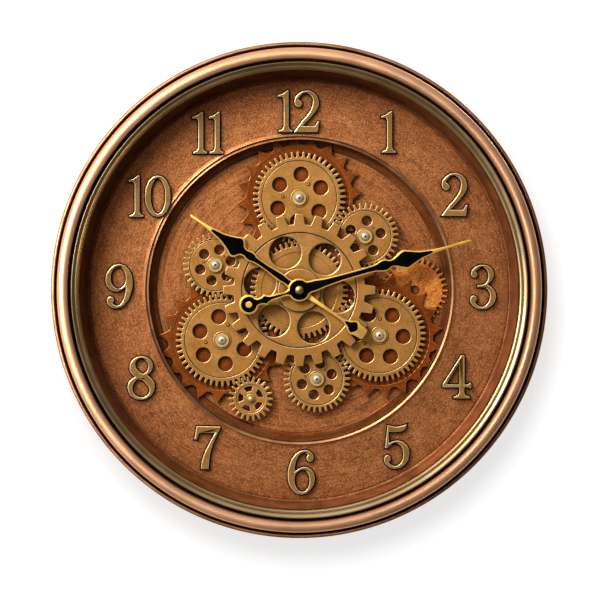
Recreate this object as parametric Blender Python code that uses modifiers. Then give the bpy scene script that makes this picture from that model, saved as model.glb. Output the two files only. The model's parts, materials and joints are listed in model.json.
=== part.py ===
"""Gear wall clock: a round framed clock with raised numerals and an open train of gears.

Every piece is drawn in the clock's own frame: x to the right, y up the dial and z out of
the wall, towards the viewer. One empty turns that frame upright, so that in the world
the clock faces -Y, its wall plane is y = 0 and its hands turn about the Y axis.
Lengths are in metres and depths are measured forward from the wall.
"""

import math

import bmesh
import bpy

# Running and seating clearances
SEAT = 0.0003
RUNNING = 0.00035
MESH_PLAY = 0.00035

# Facets round each size of turned piece
RING_STEPS = 32
PLATE_STEPS = 24
CENTRE_STEPS = 20
GEAR_STEPS = 12
SMALL_STEPS = 10
PIN_STEPS = 8
BLOCK_WINDOW_SIDES = 12
GEAR_WINDOW_SIDES = 8

# Round frame
FRAME_RADIUS = 0.2000
FRAME_WALL = 0.0042
FRAME_LIP_WIDTH = 0.0023
FRAME_LIP_SET_BACK = 0.0098
FRAME_FRONT_WIDTH = 0.0136
FRAME_ROLL_INSET = 0.0080
LEDGE_WIDTH = 0.0074
LEDGE_THICKNESS = 0.0030
LEDGE_WEB = 0.0036

# Gold bezel inside the roll
BEZEL_GROOVE = 0.0024
BEZEL_WIDTH = 0.0068
BEZEL_FOOT_THICKNESS = 0.0030
BEZEL_HEIGHT = 0.0094
FRAME_RISE = 0.0046

# Dial: a flange under the bezel, a sloping inner wall, the dial face and its turned-down lip
DIAL_SHEET = 0.0020
DIAL_WALL_SPREAD = 0.0076
DIAL_WALL_RISE = 0.0097
DIAL_WALL_ABOVE_FLANGE = 0.0048
DIAL_LIP_RISE = 0.0016
DIAL_LIP_OVER_STARS = 0.0024
DIAL_CLEARANCE = 0.0072
DIAL_OVER_GEARS = 0.0060

# Plate that carries the gears, a shallow pan with its rim turned back to the rear cover
PLATE_THICKNESS = 0.0025
PLATE_UNDER_DIAL = 0.0300
PLATE_RIM = 0.0020
PLATE_BAND_WIDTH = 0.0064
PLATE_BAND_RISE = 0.0011

# Rear cover with its two service windows and its keyhole
COVER_RECESS = 0.0020
COVER_THICKNESS = 0.0030
COVER_WINDOW_MARGIN = 0.0015
KEYHOLE_DROP = 0.0238
KEYHOLE_HEAD_RADIUS = 0.0052
KEYHOLE_SLOT_RADIUS = 0.0027
KEYHOLE_SLOT_LENGTH = 0.0120

# Clock movement and gear motor
CASE_INSET = 0.0002
CASE_DEPTH = 0.0155
CASE_ROUNDING = 0.0025
MOVEMENT_SIZE = 0.0560
MOVEMENT_CELL_DROP = 0.0115
MOTOR_WIDTH = 0.0600
MOTOR_HEIGHT = 0.0480
MOTOR_SHAFT_OFFSET = 0.0110
BATTERY_RADIUS = 0.0071
BATTERY_LENGTH = 0.0494
BATTERY_NIPPLE = 0.0011
BATTERY_NIPPLE_RADIUS = 0.0027
SETTING_KNOB_RADIUS = 0.0052
SETTING_KNOB_THICKNESS = 0.0014
SETTING_KNOB_OFFSET = 0.0100

# Bushing, hour pipe and minute arbor, one inside the other
BUSHING_WALL = 0.00105
HOUR_PIPE_WALL = 0.00085
MINUTE_ARBOR_RADIUS = 0.0014
NUT_ACROSS_CORNERS = 0.0140
NUT_THICKNESS = 0.0024

# Toothing of the fine gears: straight flanks, a flat tip and a root that comes to a point
MODULE = 0.0015
ADDENDUM = 1.0 * MODULE
DEDENDUM = 1.87 * MODULE
TOOTH_TIP_HALF = 0.30 * MODULE
DRIVE_TEETH = 51
LARGE_TEETH = 48
UPPER_RIGHT_TEETH = 34
LEFT_TEETH = 33
BOTTOM_TEETH = 34
TINY_TEETH = 22
REAR_TEETH = 34

# Layers of the open train, from the plate forward
REAR_GEAR_THICKNESS = 0.0012
STAR_OVER_REAR_GEAR = 0.0004
STAR_THICKNESS = 0.0016
GEAR_OVER_STAR = 0.0019
FINE_THICKNESS = 0.0030
BLOCK_OVER_FINE = 0.0030
BLOCK_THICKNESS = 0.0050
HUB_DISC_THICKNESS = 0.0017
HOUR_HAND_OVER_HUB = 0.0020
MINUTE_OVER_HOUR_HAND = 0.0018
HAND_THICKNESS = 0.0012
WEB_RELIEF = 0.0008
HUB_PROUD = 0.0004

# Webs, hubs and windows of the fine gears
DRIVE_WEB_RADIUS = 0.0309
DRIVE_HUB_RADIUS = 0.0095
LARGE_WEB_RADIUS = 0.0307
LARGE_HUB_RADIUS = 0.0072
LARGE_WINDOW_CIRCLE = 0.0193
LARGE_WINDOW_RADIUS = 0.0062
SMALL_WEB_RADIUS = 0.0213
SMALL_HUB_RADIUS = 0.0068
SMALL_WINDOW_CIRCLE = 0.0128
SMALL_WINDOW_RADIUS = 0.0042
TINY_WEB_RADIUS = 0.0118
TINY_HUB_RADIUS = 0.0040
TINY_WINDOW_INNER = 0.0060
TINY_WINDOW_OUTER = 0.0102

# Block-toothed centre gear
BLOCK_TEETH = 24
BLOCK_CLEARANCE = 0.0016
BLOCK_TOOTH_HEIGHT = 0.0084
BLOCK_TIP_HALF = 0.00325
BLOCK_GAP_HALF = 0.00230
BLOCK_RIM_WIDTH = 0.0062
BLOCK_WEB_RELIEF = 0.0015
BLOCK_HUB_RADIUS = 0.0140
BLOCK_WINDOW_RADIUS = 0.0131
BLOCK_WINDOW_CIRCLE = 0.0323
HUB_DISC_RADIUS = 0.0172

# Star gears behind the three large gears
STAR_TEETH = 20
STAR_TOOTH_HEIGHT = 0.0080
STAR_GAP_HALF = 0.0019
STAR_GROOVE_INSET = 0.0028
STAR_RELIEF = 0.0006
STAR_HUB_RADIUS = 0.0080

# Posts and screws
POST_RADIUS = 0.0026
POST_SHOULDER = 0.0052
PIN_RADIUS = 0.0010
PIN_HEAD_RADIUS = 0.0026
PIN_HEAD_HEIGHT = 0.0026
WASHER_RADIUS = 0.0057
WASHER_THICKNESS = 0.0010
SCREW_HEAD_RADIUS = 0.0036
SCREW_HEAD_HEIGHT = 0.0022
REAR_GEAR_HUB_RADIUS = 0.0070
CAP_RADIUS = 0.0036
CAP_HEIGHT = 0.0026

# Directions of the train, counter-clockwise from 3 o'clock as seen from the front
TOP_DIRECTION = math.radians(90.0)
LOWER_LEFT_DIRECTION = math.radians(213.0)
RIGHT_DIRECTION = math.radians(330.5)
UPPER_RIGHT_DIRECTION = math.radians(-30.25)
LEFT_DIRECTION = math.radians(95.1)
TINY_DIRECTION = math.radians(-64.0)
BOTTOM_DIRECTION = math.radians(215.0)

REAR_GEAR_PLACE = (0.0936, -0.0004)

# Hands, as they stand in the picture
MINUTE_HAND_LENGTH = 0.1442
MINUTE_HUB_RADIUS = 0.0101
MINUTE_DIRECTION = math.radians(16.1)
COUNTERWEIGHT_RADIUS = 0.0080
COUNTERWEIGHT_OFFSET = 0.0424
HOUR_HAND_LENGTH = 0.1067
HOUR_HUB_RADIUS = 0.0092
HOUR_DIRECTION = math.radians(145.5)

# Numerals: drawn on a grid 43 units high, upright, round a circle
NUMERAL_GRID = 43.0
NUMERAL_MARGIN = 0.0064
NUMERAL_OUTSET = 0.0010
NUMERAL_THICKNESS = 0.0024
PAIR_SCALE = 0.965
NUMERAL_RESOLUTION = 2

# How far each hand-set numeral stands from its true place on the circle
NUMERAL_NUDGE = {
    1: (-0.0011, 0.0008),
    2: (-0.0014, 0.0040),
    3: (0.0021, 0.0024),
    4: (0.0005, 0.0031),
    5: (0.0055, 0.0003),
    6: (0.0018, -0.0009),
    7: (-0.0012, -0.0006),
    8: (-0.0009, 0.0021),
    9: (0.0007, 0.0032),
    10: (0.0058, 0.0026),
    11: (-0.0006, 0.0002),
    12: (-0.0007, -0.0020),
}

FINISHES = {
    "antique_copper": ((0.36, 0.16, 0.075), 0.45, 0.9),
    "polished_copper": ((0.55, 0.28, 0.14), 0.28, 1.0),
    "antique_gold": ((0.52, 0.31, 0.11), 0.38, 1.0),
    "burnt_copper": ((0.33, 0.11, 0.03), 0.42, 0.9),
    "numeral_bronze": ((0.42, 0.24, 0.09), 0.4, 0.9),
    "hand_gold": ((0.72, 0.42, 0.10), 0.3, 1.0),
    "steel": ((0.62, 0.62, 0.60), 0.25, 1.0),
    "brass": ((0.60, 0.42, 0.16), 0.3, 1.0),
    "black_plastic": ((0.03, 0.03, 0.03), 0.5, 0.0),
    "battery_sleeve": ((0.05, 0.10, 0.16), 0.4, 0.1),
}


# Scene and materials


def clear_scene():
    for thing in list(bpy.data.objects):
        bpy.data.objects.remove(thing, do_unlink=True)


def new_collection(name):
    collection = bpy.data.collections.new(name)
    bpy.context.scene.collection.children.link(collection)
    return collection


def finish(name):
    """The named finish, made the first time it is asked for."""
    if name in bpy.data.materials:
        return bpy.data.materials[name]
    colour, roughness, metallic = FINISHES[name]
    material = bpy.data.materials.new(name)
    material.use_nodes = True
    shader = material.node_tree.nodes["Principled BSDF"]
    shader.inputs["Base Color"].default_value = (*colour, 1.0)
    shader.inputs["Roughness"].default_value = roughness
    shader.inputs["Metallic"].default_value = metallic
    material.diffuse_color = (*colour, 1.0)
    return material


clear_scene()
PARTS = new_collection("gear_wall_clock")
CUTTERS = new_collection("cutters")
CLOCK = bpy.data.objects.new("clock", None)
CLOCK.rotation_euler = (math.pi / 2, 0.0, 0.0)
PARTS.objects.link(CLOCK)
bpy.context.view_layer.update()


# Ways of making a piece


def place(piece, centre, finish_name):
    """Put a piece on its axis in the clock's frame, or among the cutters where it has no finish."""
    piece.parent = CLOCK
    piece.location = (centre[0], centre[1], piece.location.z)
    if finish_name is None:
        CUTTERS.objects.link(piece)
        piece.hide_render = True
        piece.display_type = "WIRE"
    else:
        PARTS.objects.link(piece)
        piece.data.materials.append(finish(finish_name))
    return piece


def turned(name, profile, finish_name, centre=(0.0, 0.0), steps=16, closed=True):
    """Turn a profile of (radius, depth) points, given down its outer side, about the piece's axis."""
    form = bmesh.new()
    corners = [form.verts.new((radius, 0.0, depth)) for radius, depth in profile]
    ends = corners[1:] + corners[:1] if closed else corners[1:]
    for start, end in zip(corners, ends):
        form.edges.new((start, end))
    mesh = bpy.data.meshes.new(name)
    form.to_mesh(mesh)
    form.free()
    piece = bpy.data.objects.new(name, mesh)
    screw = piece.modifiers.new("turn", "SCREW")
    screw.axis = "Z"
    screw.angle = math.tau
    screw.steps = steps
    screw.render_steps = steps
    screw.use_merge_vertices = True
    screw.merge_threshold = 0.00001
    screw.use_smooth_shade = True
    return place(piece, centre, finish_name)


def flat(name, outlines, back, front, finish_name, centre=(0.0, 0.0), resolution=NUMERAL_RESOLUTION):
    """Cut flat outlines from a sheet that lies between two depths. An outline inside another is a hole.

    An outline's point is (x, y) for a corner and (x, y, True) where the edge runs on smoothly.
    """
    curve = bpy.data.curves.new(name, "CURVE")
    curve.dimensions = "2D"
    curve.fill_mode = "BOTH"
    curve.extrude = (front - back) / 2
    curve.resolution_u = resolution
    for outline in outlines:
        smooth = any(len(point) == 3 for point in outline)
        spline = curve.splines.new("BEZIER" if smooth else "POLY")
        spline.use_cyclic_u = True
        if smooth:
            spline.bezier_points.add(len(outline) - 1)
            for knot, point in zip(spline.bezier_points, outline):
                knot.co = (point[0], point[1], 0.0)
                kind = "AUTO" if len(point) == 3 else "VECTOR"
                knot.handle_left_type = kind
                knot.handle_right_type = kind
        else:
            spline.points.add(len(outline) - 1)
            for knot, point in zip(spline.points, outline):
                knot.co = (point[0], point[1], 0.0, 1.0)
    sheet = bpy.data.objects.new(name + "_outline", curve)
    sheet.location.z = (back + front) / 2
    sheet.parent = CLOCK
    PARTS.objects.link(sheet)
    bpy.context.view_layer.update()
    graph = bpy.context.evaluated_depsgraph_get()
    mesh = bpy.data.meshes.new_from_object(sheet.evaluated_get(graph))
    mesh.name = name
    mesh.materials.clear()
    form = bmesh.new()
    form.from_mesh(mesh)
    bmesh.ops.remove_doubles(form, verts=form.verts, dist=0.000001)
    form.to_mesh(mesh)
    form.free()
    bpy.data.objects.remove(sheet)
    piece = bpy.data.objects.new(name, mesh)
    piece.location.z = (back + front) / 2
    return place(piece, centre, finish_name)


def cut(piece, cutter):
    """Take a cutter's shape out of a piece."""
    difference = piece.modifiers.new("cut_" + cutter.name, "BOOLEAN")
    difference.operation = "DIFFERENCE"
    difference.solver = "EXACT"
    difference.object = cutter


def box_cutter(name, low, high):
    """A box between two corners of the clock's frame, as a cutter."""
    middle = [(a + b) / 2 for a, b in zip(low, high)]
    form = bmesh.new()
    bmesh.ops.create_cube(form, size=1.0)
    bmesh.ops.scale(form, verts=form.verts, vec=[b - a for a, b in zip(low, high)])
    mesh = bpy.data.meshes.new(name)
    form.to_mesh(mesh)
    form.free()
    piece = bpy.data.objects.new(name, mesh)
    piece.location.z = middle[2]
    return place(piece, middle[:2], None)


# Outlines


def ring_points(radius, count, centre=(0.0, 0.0), start=0.0):
    """A circle as a polygon."""
    angles = [start + math.tau * step / count for step in range(count)]
    return [(centre[0] + radius * math.cos(a), centre[1] + radius * math.sin(a)) for a in angles]


def hole_circle(count, circle_radius, hole_radius, phase, sides):
    """Round holes spread evenly round a circle, each as an outline."""
    holes = []
    for index in range(count):
        angle = phase + math.tau * index / count
        middle = (circle_radius * math.cos(angle), circle_radius * math.sin(angle))
        holes.append(ring_points(hole_radius, sides, middle, angle))
    return holes


def sector_windows(count, inner, outer, phase, share):
    """Windows between the spokes of a wheel, each with an inner and an outer arc."""
    windows = []
    half = share * math.pi / count
    for index in range(count):
        middle = phase + math.tau * index / count
        arc = [middle + half * side for side in (-1.0, 0.0, 1.0)]
        outline = [(outer * math.cos(a), outer * math.sin(a)) for a in arc]
        waist = [middle + 0.7 * half, middle - 0.7 * half]
        outline += [(inner * math.cos(a), inner * math.sin(a)) for a in waist]
        windows.append(outline)
    return windows


def toothed_rim(teeth, root_radius, tip_radius, tip_half, gap_half, phase):
    """The rim of a gear with straight flanks. A tip or a root with no width is one point."""
    tip = [(tip_radius, -tip_half), (tip_radius, tip_half)] if tip_half > 0.0 else [(tip_radius, 0.0)]
    root = [(root_radius, -gap_half), (root_radius, gap_half)] if gap_half > 0.0 else [(root_radius, 0.0)]
    rim = []
    for tooth in range(teeth):
        middle = phase + math.tau * tooth / teeth
        for turn, corners in ((middle, tip), (middle + math.pi / teeth, root)):
            for radius, offset in corners:
                angle = turn + offset / radius
                rim.append((radius * math.cos(angle), radius * math.sin(angle)))
    return rim


def pitch_radius(teeth):
    return teeth * MODULE / 2


def fine_rim(teeth, phase):
    """The rim of a fine gear of the train."""
    pitch = pitch_radius(teeth)
    return toothed_rim(teeth, pitch - DEDENDUM, pitch + ADDENDUM, TOOTH_TIP_HALF, 0.0, phase)


def meshed(driver, direction, teeth):
    """Where a gear stands that meshes with a driver in a direction, and how its teeth are turned.

    A gear is (centre, teeth, phase). A tooth of the new gear falls in the gap of the driver's.
    """
    centre, driver_teeth, driver_phase = driver
    distance = pitch_radius(driver_teeth) + pitch_radius(teeth) + MESH_PLAY
    new_centre = (
        centre[0] + distance * math.cos(direction),
        centre[1] + distance * math.sin(direction),
    )
    along = driver_teeth * (direction - driver_phase) / math.tau
    phase = direction + math.pi - (math.tau / teeth) * (0.5 - along)
    return new_centre, teeth, phase


# The train's plan: centres, teeth and phases
DRIVE = ((0.0, 0.0), DRIVE_TEETH, 0.0)
TOP = meshed(DRIVE, TOP_DIRECTION, LARGE_TEETH)
LOWER_LEFT = meshed(DRIVE, LOWER_LEFT_DIRECTION, LARGE_TEETH)
RIGHT = meshed(DRIVE, RIGHT_DIRECTION, LARGE_TEETH)
UPPER_RIGHT = meshed(TOP, UPPER_RIGHT_DIRECTION, UPPER_RIGHT_TEETH)
LEFT = meshed(LOWER_LEFT, LEFT_DIRECTION, LEFT_TEETH)
TINY = meshed(LOWER_LEFT, TINY_DIRECTION, TINY_TEETH)
BOTTOM = meshed(RIGHT, BOTTOM_DIRECTION, BOTTOM_TEETH)
SATELLITES = (TOP, LOWER_LEFT, RIGHT, UPPER_RIGHT, LEFT, TINY, BOTTOM)

# Depths from the wall forward, each layer standing on the one behind it
COVER_FRONT = COVER_RECESS + COVER_THICKNESS
CASE_BACK = COVER_RECESS + CASE_INSET
CASE_FRONT = CASE_BACK + CASE_DEPTH
PLATE_BACK = CASE_FRONT + SEAT
PLATE_FRONT = PLATE_BACK + PLATE_THICKNESS
ON_PLATE = PLATE_FRONT + SEAT
REAR_GEAR_BACK = PLATE_FRONT + PLATE_BAND_RISE + SEAT
REAR_GEAR_FRONT = REAR_GEAR_BACK + REAR_GEAR_THICKNESS
STAR_BACK = REAR_GEAR_FRONT + STAR_OVER_REAR_GEAR
STAR_FRONT = STAR_BACK + STAR_THICKNESS
FINE_BACK = STAR_FRONT + GEAR_OVER_STAR
FINE_FRONT = FINE_BACK + FINE_THICKNESS
BLOCK_BACK = FINE_FRONT + BLOCK_OVER_FINE
BLOCK_FRONT = BLOCK_BACK + BLOCK_THICKNESS
HUB_DISC_BACK = BLOCK_FRONT + SEAT
HUB_DISC_FRONT = HUB_DISC_BACK + HUB_DISC_THICKNESS
HOUR_HAND_BACK = HUB_DISC_FRONT + HOUR_HAND_OVER_HUB
MINUTE_HAND_BACK = HOUR_HAND_BACK + HAND_THICKNESS + MINUTE_OVER_HOUR_HAND
ARBOR_TOP = MINUTE_HAND_BACK + HAND_THICKNESS
POST_TOP = FINE_FRONT + HUB_PROUD + SEAT
WASHER_BACK = POST_TOP + SEAT
DIAL_FACE_DEPTH = FINE_FRONT + DIAL_OVER_GEARS
DIAL_FLANGE_DEPTH = DIAL_FACE_DEPTH + DIAL_WALL_RISE
BEZEL_BACK = DIAL_FLANGE_DEPTH + SEAT
BEZEL_FRONT = BEZEL_BACK + BEZEL_HEIGHT
FRAME_DEPTH = BEZEL_FRONT + FRAME_RISE
FRAME_LIP_DEPTH = FRAME_DEPTH - FRAME_LIP_SET_BACK

# Radii from the frame inwards
FRAME_INSIDE = FRAME_RADIUS - FRAME_WALL
FRAME_MOUTH_RADIUS = FRAME_RADIUS - FRAME_FRONT_WIDTH
KEYHOLE_HEIGHT = FRAME_INSIDE - KEYHOLE_DROP
BEZEL_RADIUS = FRAME_MOUTH_RADIUS - BEZEL_GROOVE
BEZEL_MOUTH_RADIUS = BEZEL_RADIUS - BEZEL_WIDTH
DIAL_WALL_RADIUS = BEZEL_MOUTH_RADIUS - SEAT
DIAL_FACE_RADIUS = DIAL_WALL_RADIUS - DIAL_WALL_SPREAD

# Radii from the train outwards
TRAIN_REACH = max(math.hypot(*plan[0]) + plan[1] * MODULE / 2 + ADDENDUM for plan in SATELLITES)
DIAL_HOLE_RADIUS = TRAIN_REACH + DIAL_CLEARANCE
PLATE_RADIUS = DIAL_HOLE_RADIUS + PLATE_UNDER_DIAL
NUMERAL_CIRCLE = (DIAL_HOLE_RADIUS + DIAL_FACE_RADIUS) / 2 + NUMERAL_OUTSET
NUMERAL_HEIGHT = DIAL_FACE_RADIUS - DIAL_HOLE_RADIUS - 2 * NUMERAL_MARGIN
NEAREST_SCREW = min(math.hypot(*plan[0]) for plan in SATELLITES)
BLOCK_TIP_RADIUS = NEAREST_SCREW - WASHER_RADIUS - BLOCK_CLEARANCE
STAR_TIP_RADIUS = math.dist(LOWER_LEFT[0], TINY[0]) - PIN_RADIUS - RUNNING
STAR_ROOT_RADIUS = STAR_TIP_RADIUS - STAR_TOOTH_HEIGHT

# Bores
HOUR_PIPE_BORE = MINUTE_ARBOR_RADIUS + RUNNING
HOUR_PIPE_RADIUS = HOUR_PIPE_BORE + HOUR_PIPE_WALL
BUSHING_BORE = HOUR_PIPE_RADIUS + RUNNING
BUSHING_RADIUS = BUSHING_BORE + BUSHING_WALL
CENTRE_BORE = BUSHING_RADIUS + RUNNING
POST_BORE = POST_RADIUS + RUNNING


# Frame, bezel and dial


def frame_ring():
    """A moulded ring: a plain outer wall with a lip, a rolled front and a ledge for the dial."""
    lip = FRAME_RADIUS - FRAME_LIP_WIDTH
    roll = FRAME_RADIUS - FRAME_ROLL_INSET
    web = FRAME_MOUTH_RADIUS + LEDGE_WEB
    cavity_front = FRAME_LIP_DEPTH - FRAME_WALL
    ledge_front = DIAL_FLANGE_DEPTH - DIAL_SHEET - SEAT
    ledge_back = ledge_front - LEDGE_THICKNESS
    shoulder = 0.0046
    profile = [
        (FRAME_RADIUS, FRAME_LIP_DEPTH),
        (FRAME_RADIUS, 0.0),
        (FRAME_INSIDE, 0.0),
        (FRAME_INSIDE, cavity_front),
        (web, cavity_front),
        (web, ledge_back),
        (FRAME_MOUTH_RADIUS - LEDGE_WIDTH, ledge_back),
        (FRAME_MOUTH_RADIUS - LEDGE_WIDTH, ledge_front),
        (FRAME_MOUTH_RADIUS, ledge_front),
        (FRAME_MOUTH_RADIUS, FRAME_DEPTH - shoulder),
        (roll - 0.6 * shoulder, FRAME_DEPTH - 0.2 * shoulder),
        (roll, FRAME_DEPTH),
        (roll + 0.65 * shoulder, FRAME_DEPTH - 0.55 * shoulder),
        (roll + 0.95 * shoulder, FRAME_DEPTH - 1.65 * shoulder),
        (lip - 0.2 * shoulder, FRAME_LIP_DEPTH - 0.2 * shoulder),
        (lip, FRAME_LIP_DEPTH),
    ]
    turned("frame_ring", profile, "polished_copper", steps=RING_STEPS)


def bezel_ring():
    """A gold ring with two beads, its foot held between the frame and the dial's flange."""
    bead = 0.0020
    foot_front = BEZEL_BACK + BEZEL_FOOT_THICKNESS
    foot_radius = FRAME_MOUTH_RADIUS - SEAT
    profile = [
        (BEZEL_RADIUS - bead, BEZEL_FRONT),
        (BEZEL_RADIUS, BEZEL_FRONT - bead),
        (BEZEL_RADIUS, foot_front),
        (foot_radius, foot_front),
        (foot_radius, BEZEL_BACK),
        (BEZEL_MOUTH_RADIUS, BEZEL_BACK),
        (BEZEL_MOUTH_RADIUS, BEZEL_FRONT - bead),
        (BEZEL_MOUTH_RADIUS + 0.6 * bead, BEZEL_FRONT - 0.4 * bead),
        (BEZEL_RADIUS - 1.8 * bead, BEZEL_FRONT - 0.9 * bead),
    ]
    turned("bezel_ring", profile, "antique_gold", steps=RING_STEPS)


def dial_ring():
    """The pressed dial: flange, sloping wall, face and the lip turned down round the gears."""
    face_back = DIAL_FACE_DEPTH - DIAL_SHEET
    flange_back = DIAL_FLANGE_DEPTH - DIAL_SHEET
    flange_radius = FRAME_MOUTH_RADIUS - SEAT
    wall_front = DIAL_FLANGE_DEPTH + DIAL_WALL_ABOVE_FLANGE
    lip = DIAL_HOLE_RADIUS + DIAL_SHEET
    lip_back = STAR_FRONT + DIAL_LIP_OVER_STARS
    lip_front = DIAL_FACE_DEPTH + DIAL_LIP_RISE
    profile = [
        (DIAL_WALL_RADIUS, wall_front),
        (DIAL_WALL_RADIUS, DIAL_FLANGE_DEPTH),
        (flange_radius, DIAL_FLANGE_DEPTH),
        (flange_radius, flange_back),
        (DIAL_WALL_RADIUS - DIAL_SHEET, flange_back),
        (DIAL_FACE_RADIUS + DIAL_SHEET, face_back),
        (lip, face_back),
        (lip, lip_back),
        (DIAL_HOLE_RADIUS, lip_back),
        (DIAL_HOLE_RADIUS, lip_front - 0.3 * DIAL_LIP_RISE),
        (DIAL_HOLE_RADIUS + 0.4 * DIAL_SHEET, lip_front),
        (lip, DIAL_FACE_DEPTH),
        (DIAL_FACE_RADIUS, DIAL_FACE_DEPTH),
        (DIAL_WALL_RADIUS - 0.4 * DIAL_SHEET, wall_front),
    ]
    turned("dial_ring", profile, "antique_copper", steps=RING_STEPS)


# Plate, cover and what stands behind them


def gear_plate():
    """The floor behind the gears, with a raised band round it and a rim turned back to the cover."""
    rim_back = COVER_FRONT + SEAT
    band_front = PLATE_FRONT + PLATE_BAND_RISE
    profile = [
        (PLATE_RADIUS, band_front),
        (PLATE_RADIUS, rim_back),
        (PLATE_RADIUS - PLATE_RIM, rim_back),
        (PLATE_RADIUS - PLATE_RIM, PLATE_BACK),
        (CENTRE_BORE, PLATE_BACK),
        (CENTRE_BORE, PLATE_FRONT),
        (DIAL_HOLE_RADIUS - PLATE_BAND_WIDTH, PLATE_FRONT),
        (DIAL_HOLE_RADIUS, band_front),
    ]
    plate = turned("gear_plate", profile, "antique_copper", steps=PLATE_STEPS)
    hole_radius = POST_BORE + SEAT
    hole = [
        (0.0, FINE_FRONT),
        (hole_radius, FINE_FRONT),
        (hole_radius, 0.0),
        (0.0, 0.0),
    ]
    cut(plate, turned("shaft_hole_cutter", hole, None, RIGHT[0], steps=PIN_STEPS, closed=False))


def keyhole_outline():
    """A round hole for the screw's head with a slot above it for its neck."""
    neck = math.asin(KEYHOLE_SLOT_RADIUS / KEYHOLE_HEAD_RADIUS)
    sweep = math.tau - 2 * neck
    head_steps = 8
    end_steps = 4
    slot_end = KEYHOLE_HEIGHT + KEYHOLE_SLOT_LENGTH
    outline = []
    for step in range(head_steps + 1):
        angle = math.pi / 2 + neck + sweep * step / head_steps
        x = KEYHOLE_HEAD_RADIUS * math.cos(angle)
        outline.append((x, KEYHOLE_HEIGHT + KEYHOLE_HEAD_RADIUS * math.sin(angle)))
    for step in range(end_steps + 1):
        angle = math.pi * step / end_steps
        x = KEYHOLE_SLOT_RADIUS * math.cos(angle)
        outline.append((x, slot_end + KEYHOLE_SLOT_RADIUS * math.sin(angle)))
    return outline


def rectangle(centre, width, height):
    """A rectangle's corners round a centre."""
    x, y = centre
    return [
        (x - width / 2, y - height / 2),
        (x + width / 2, y - height / 2),
        (x + width / 2, y + height / 2),
        (x - width / 2, y + height / 2),
    ]


def motor_centre():
    """The middle of the gear motor's case, whose shaft stands above it."""
    return (RIGHT[0][0], RIGHT[0][1] - MOTOR_SHAFT_OFFSET)


def back_cover():
    """The rear cover, let into the frame, with a window for each case and the keyhole."""
    margin = 2 * COVER_WINDOW_MARGIN
    outlines = [
        ring_points(FRAME_INSIDE - SEAT, RING_STEPS),
        rectangle((0.0, 0.0), MOVEMENT_SIZE + margin, MOVEMENT_SIZE + margin),
        rectangle(motor_centre(), MOTOR_WIDTH + margin, MOTOR_HEIGHT + margin),
        keyhole_outline(),
    ]
    flat("back_cover", outlines, COVER_RECESS, COVER_FRONT, "black_plastic")


def drive_case(name, centre, width, height, bay_offset):
    """A moulded case behind the plate, with an open bay for one AA battery in its back."""
    form = bmesh.new()
    bmesh.ops.create_cube(form, size=1.0)
    bmesh.ops.scale(form, verts=form.verts, vec=(width, height, CASE_DEPTH))
    uprights = [e for e in form.edges if abs(e.verts[0].co.z - e.verts[1].co.z) > CASE_DEPTH / 2]
    bmesh.ops.bevel(
        form, geom=uprights, offset=CASE_ROUNDING, segments=2, profile=0.5, affect="EDGES", material=-1
    )
    mesh = bpy.data.meshes.new(name)
    form.to_mesh(mesh)
    form.free()
    case = bpy.data.objects.new(name, mesh)
    case.location.z = CASE_BACK + CASE_DEPTH / 2
    place(case, centre, "black_plastic")
    half_length = BATTERY_LENGTH / 2 + BATTERY_NIPPLE + RUNNING
    half_height = BATTERY_RADIUS + RUNNING
    middle = centre[1] + bay_offset
    low = (centre[0] - half_length, middle - half_height, 0.0)
    high = (centre[0] + half_length, middle + half_height, CASE_BACK + 2 * BATTERY_RADIUS + SEAT)
    cut(case, box_cutter(name + "_bay_cutter", low, high))


def battery(name, centre):
    """An AA cell lying along x: a sleeve with its positive nipple, turned and laid down."""
    half = BATTERY_LENGTH / 2
    profile = [
        (0.0, half + BATTERY_NIPPLE),
        (BATTERY_NIPPLE_RADIUS, half + BATTERY_NIPPLE),
        (BATTERY_NIPPLE_RADIUS, half),
        (BATTERY_RADIUS, half),
        (BATTERY_RADIUS, -half),
        (0.0, -half),
    ]
    cell = turned(name, profile, "battery_sleeve", centre, steps=SMALL_STEPS, closed=False)
    cell.rotation_euler = (0.0, math.pi / 2, 0.0)
    cell.location.z = CASE_BACK + BATTERY_RADIUS


def movement():
    """The quartz movement: case, cell, threaded bushing and the nut that holds it to the plate."""
    bay_offset = MOVEMENT_CELL_DROP - MOVEMENT_SIZE / 2
    drive_case("movement_case", (0.0, 0.0), MOVEMENT_SIZE, MOVEMENT_SIZE, bay_offset)
    battery("movement_battery", (0.0, bay_offset))
    bushing_front = HUB_DISC_FRONT + SEAT
    bushing = [
        (BUSHING_RADIUS, bushing_front),
        (BUSHING_RADIUS, PLATE_BACK),
        (BUSHING_BORE, PLATE_BACK),
        (BUSHING_BORE, bushing_front),
    ]
    turned("movement_bushing", bushing, "brass", steps=SMALL_STEPS)
    hexagon = ring_points(NUT_ACROSS_CORNERS / 2, 6)
    bore = ring_points(CENTRE_BORE, SMALL_STEPS)
    flat("bushing_nut", [hexagon, bore], ON_PLATE, ON_PLATE + NUT_THICKNESS, "brass")
    knob_front = CASE_BACK - SEAT
    knob_back = knob_front - SETTING_KNOB_THICKNESS
    knob = [
        (0.0, knob_front),
        (SETTING_KNOB_RADIUS, knob_front),
        (SETTING_KNOB_RADIUS, knob_back),
        (0.0, knob_back),
    ]
    middle = (0.0, SETTING_KNOB_OFFSET)
    turned("setting_knob", knob, "black_plastic", middle, steps=SMALL_STEPS, closed=False)


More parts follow.
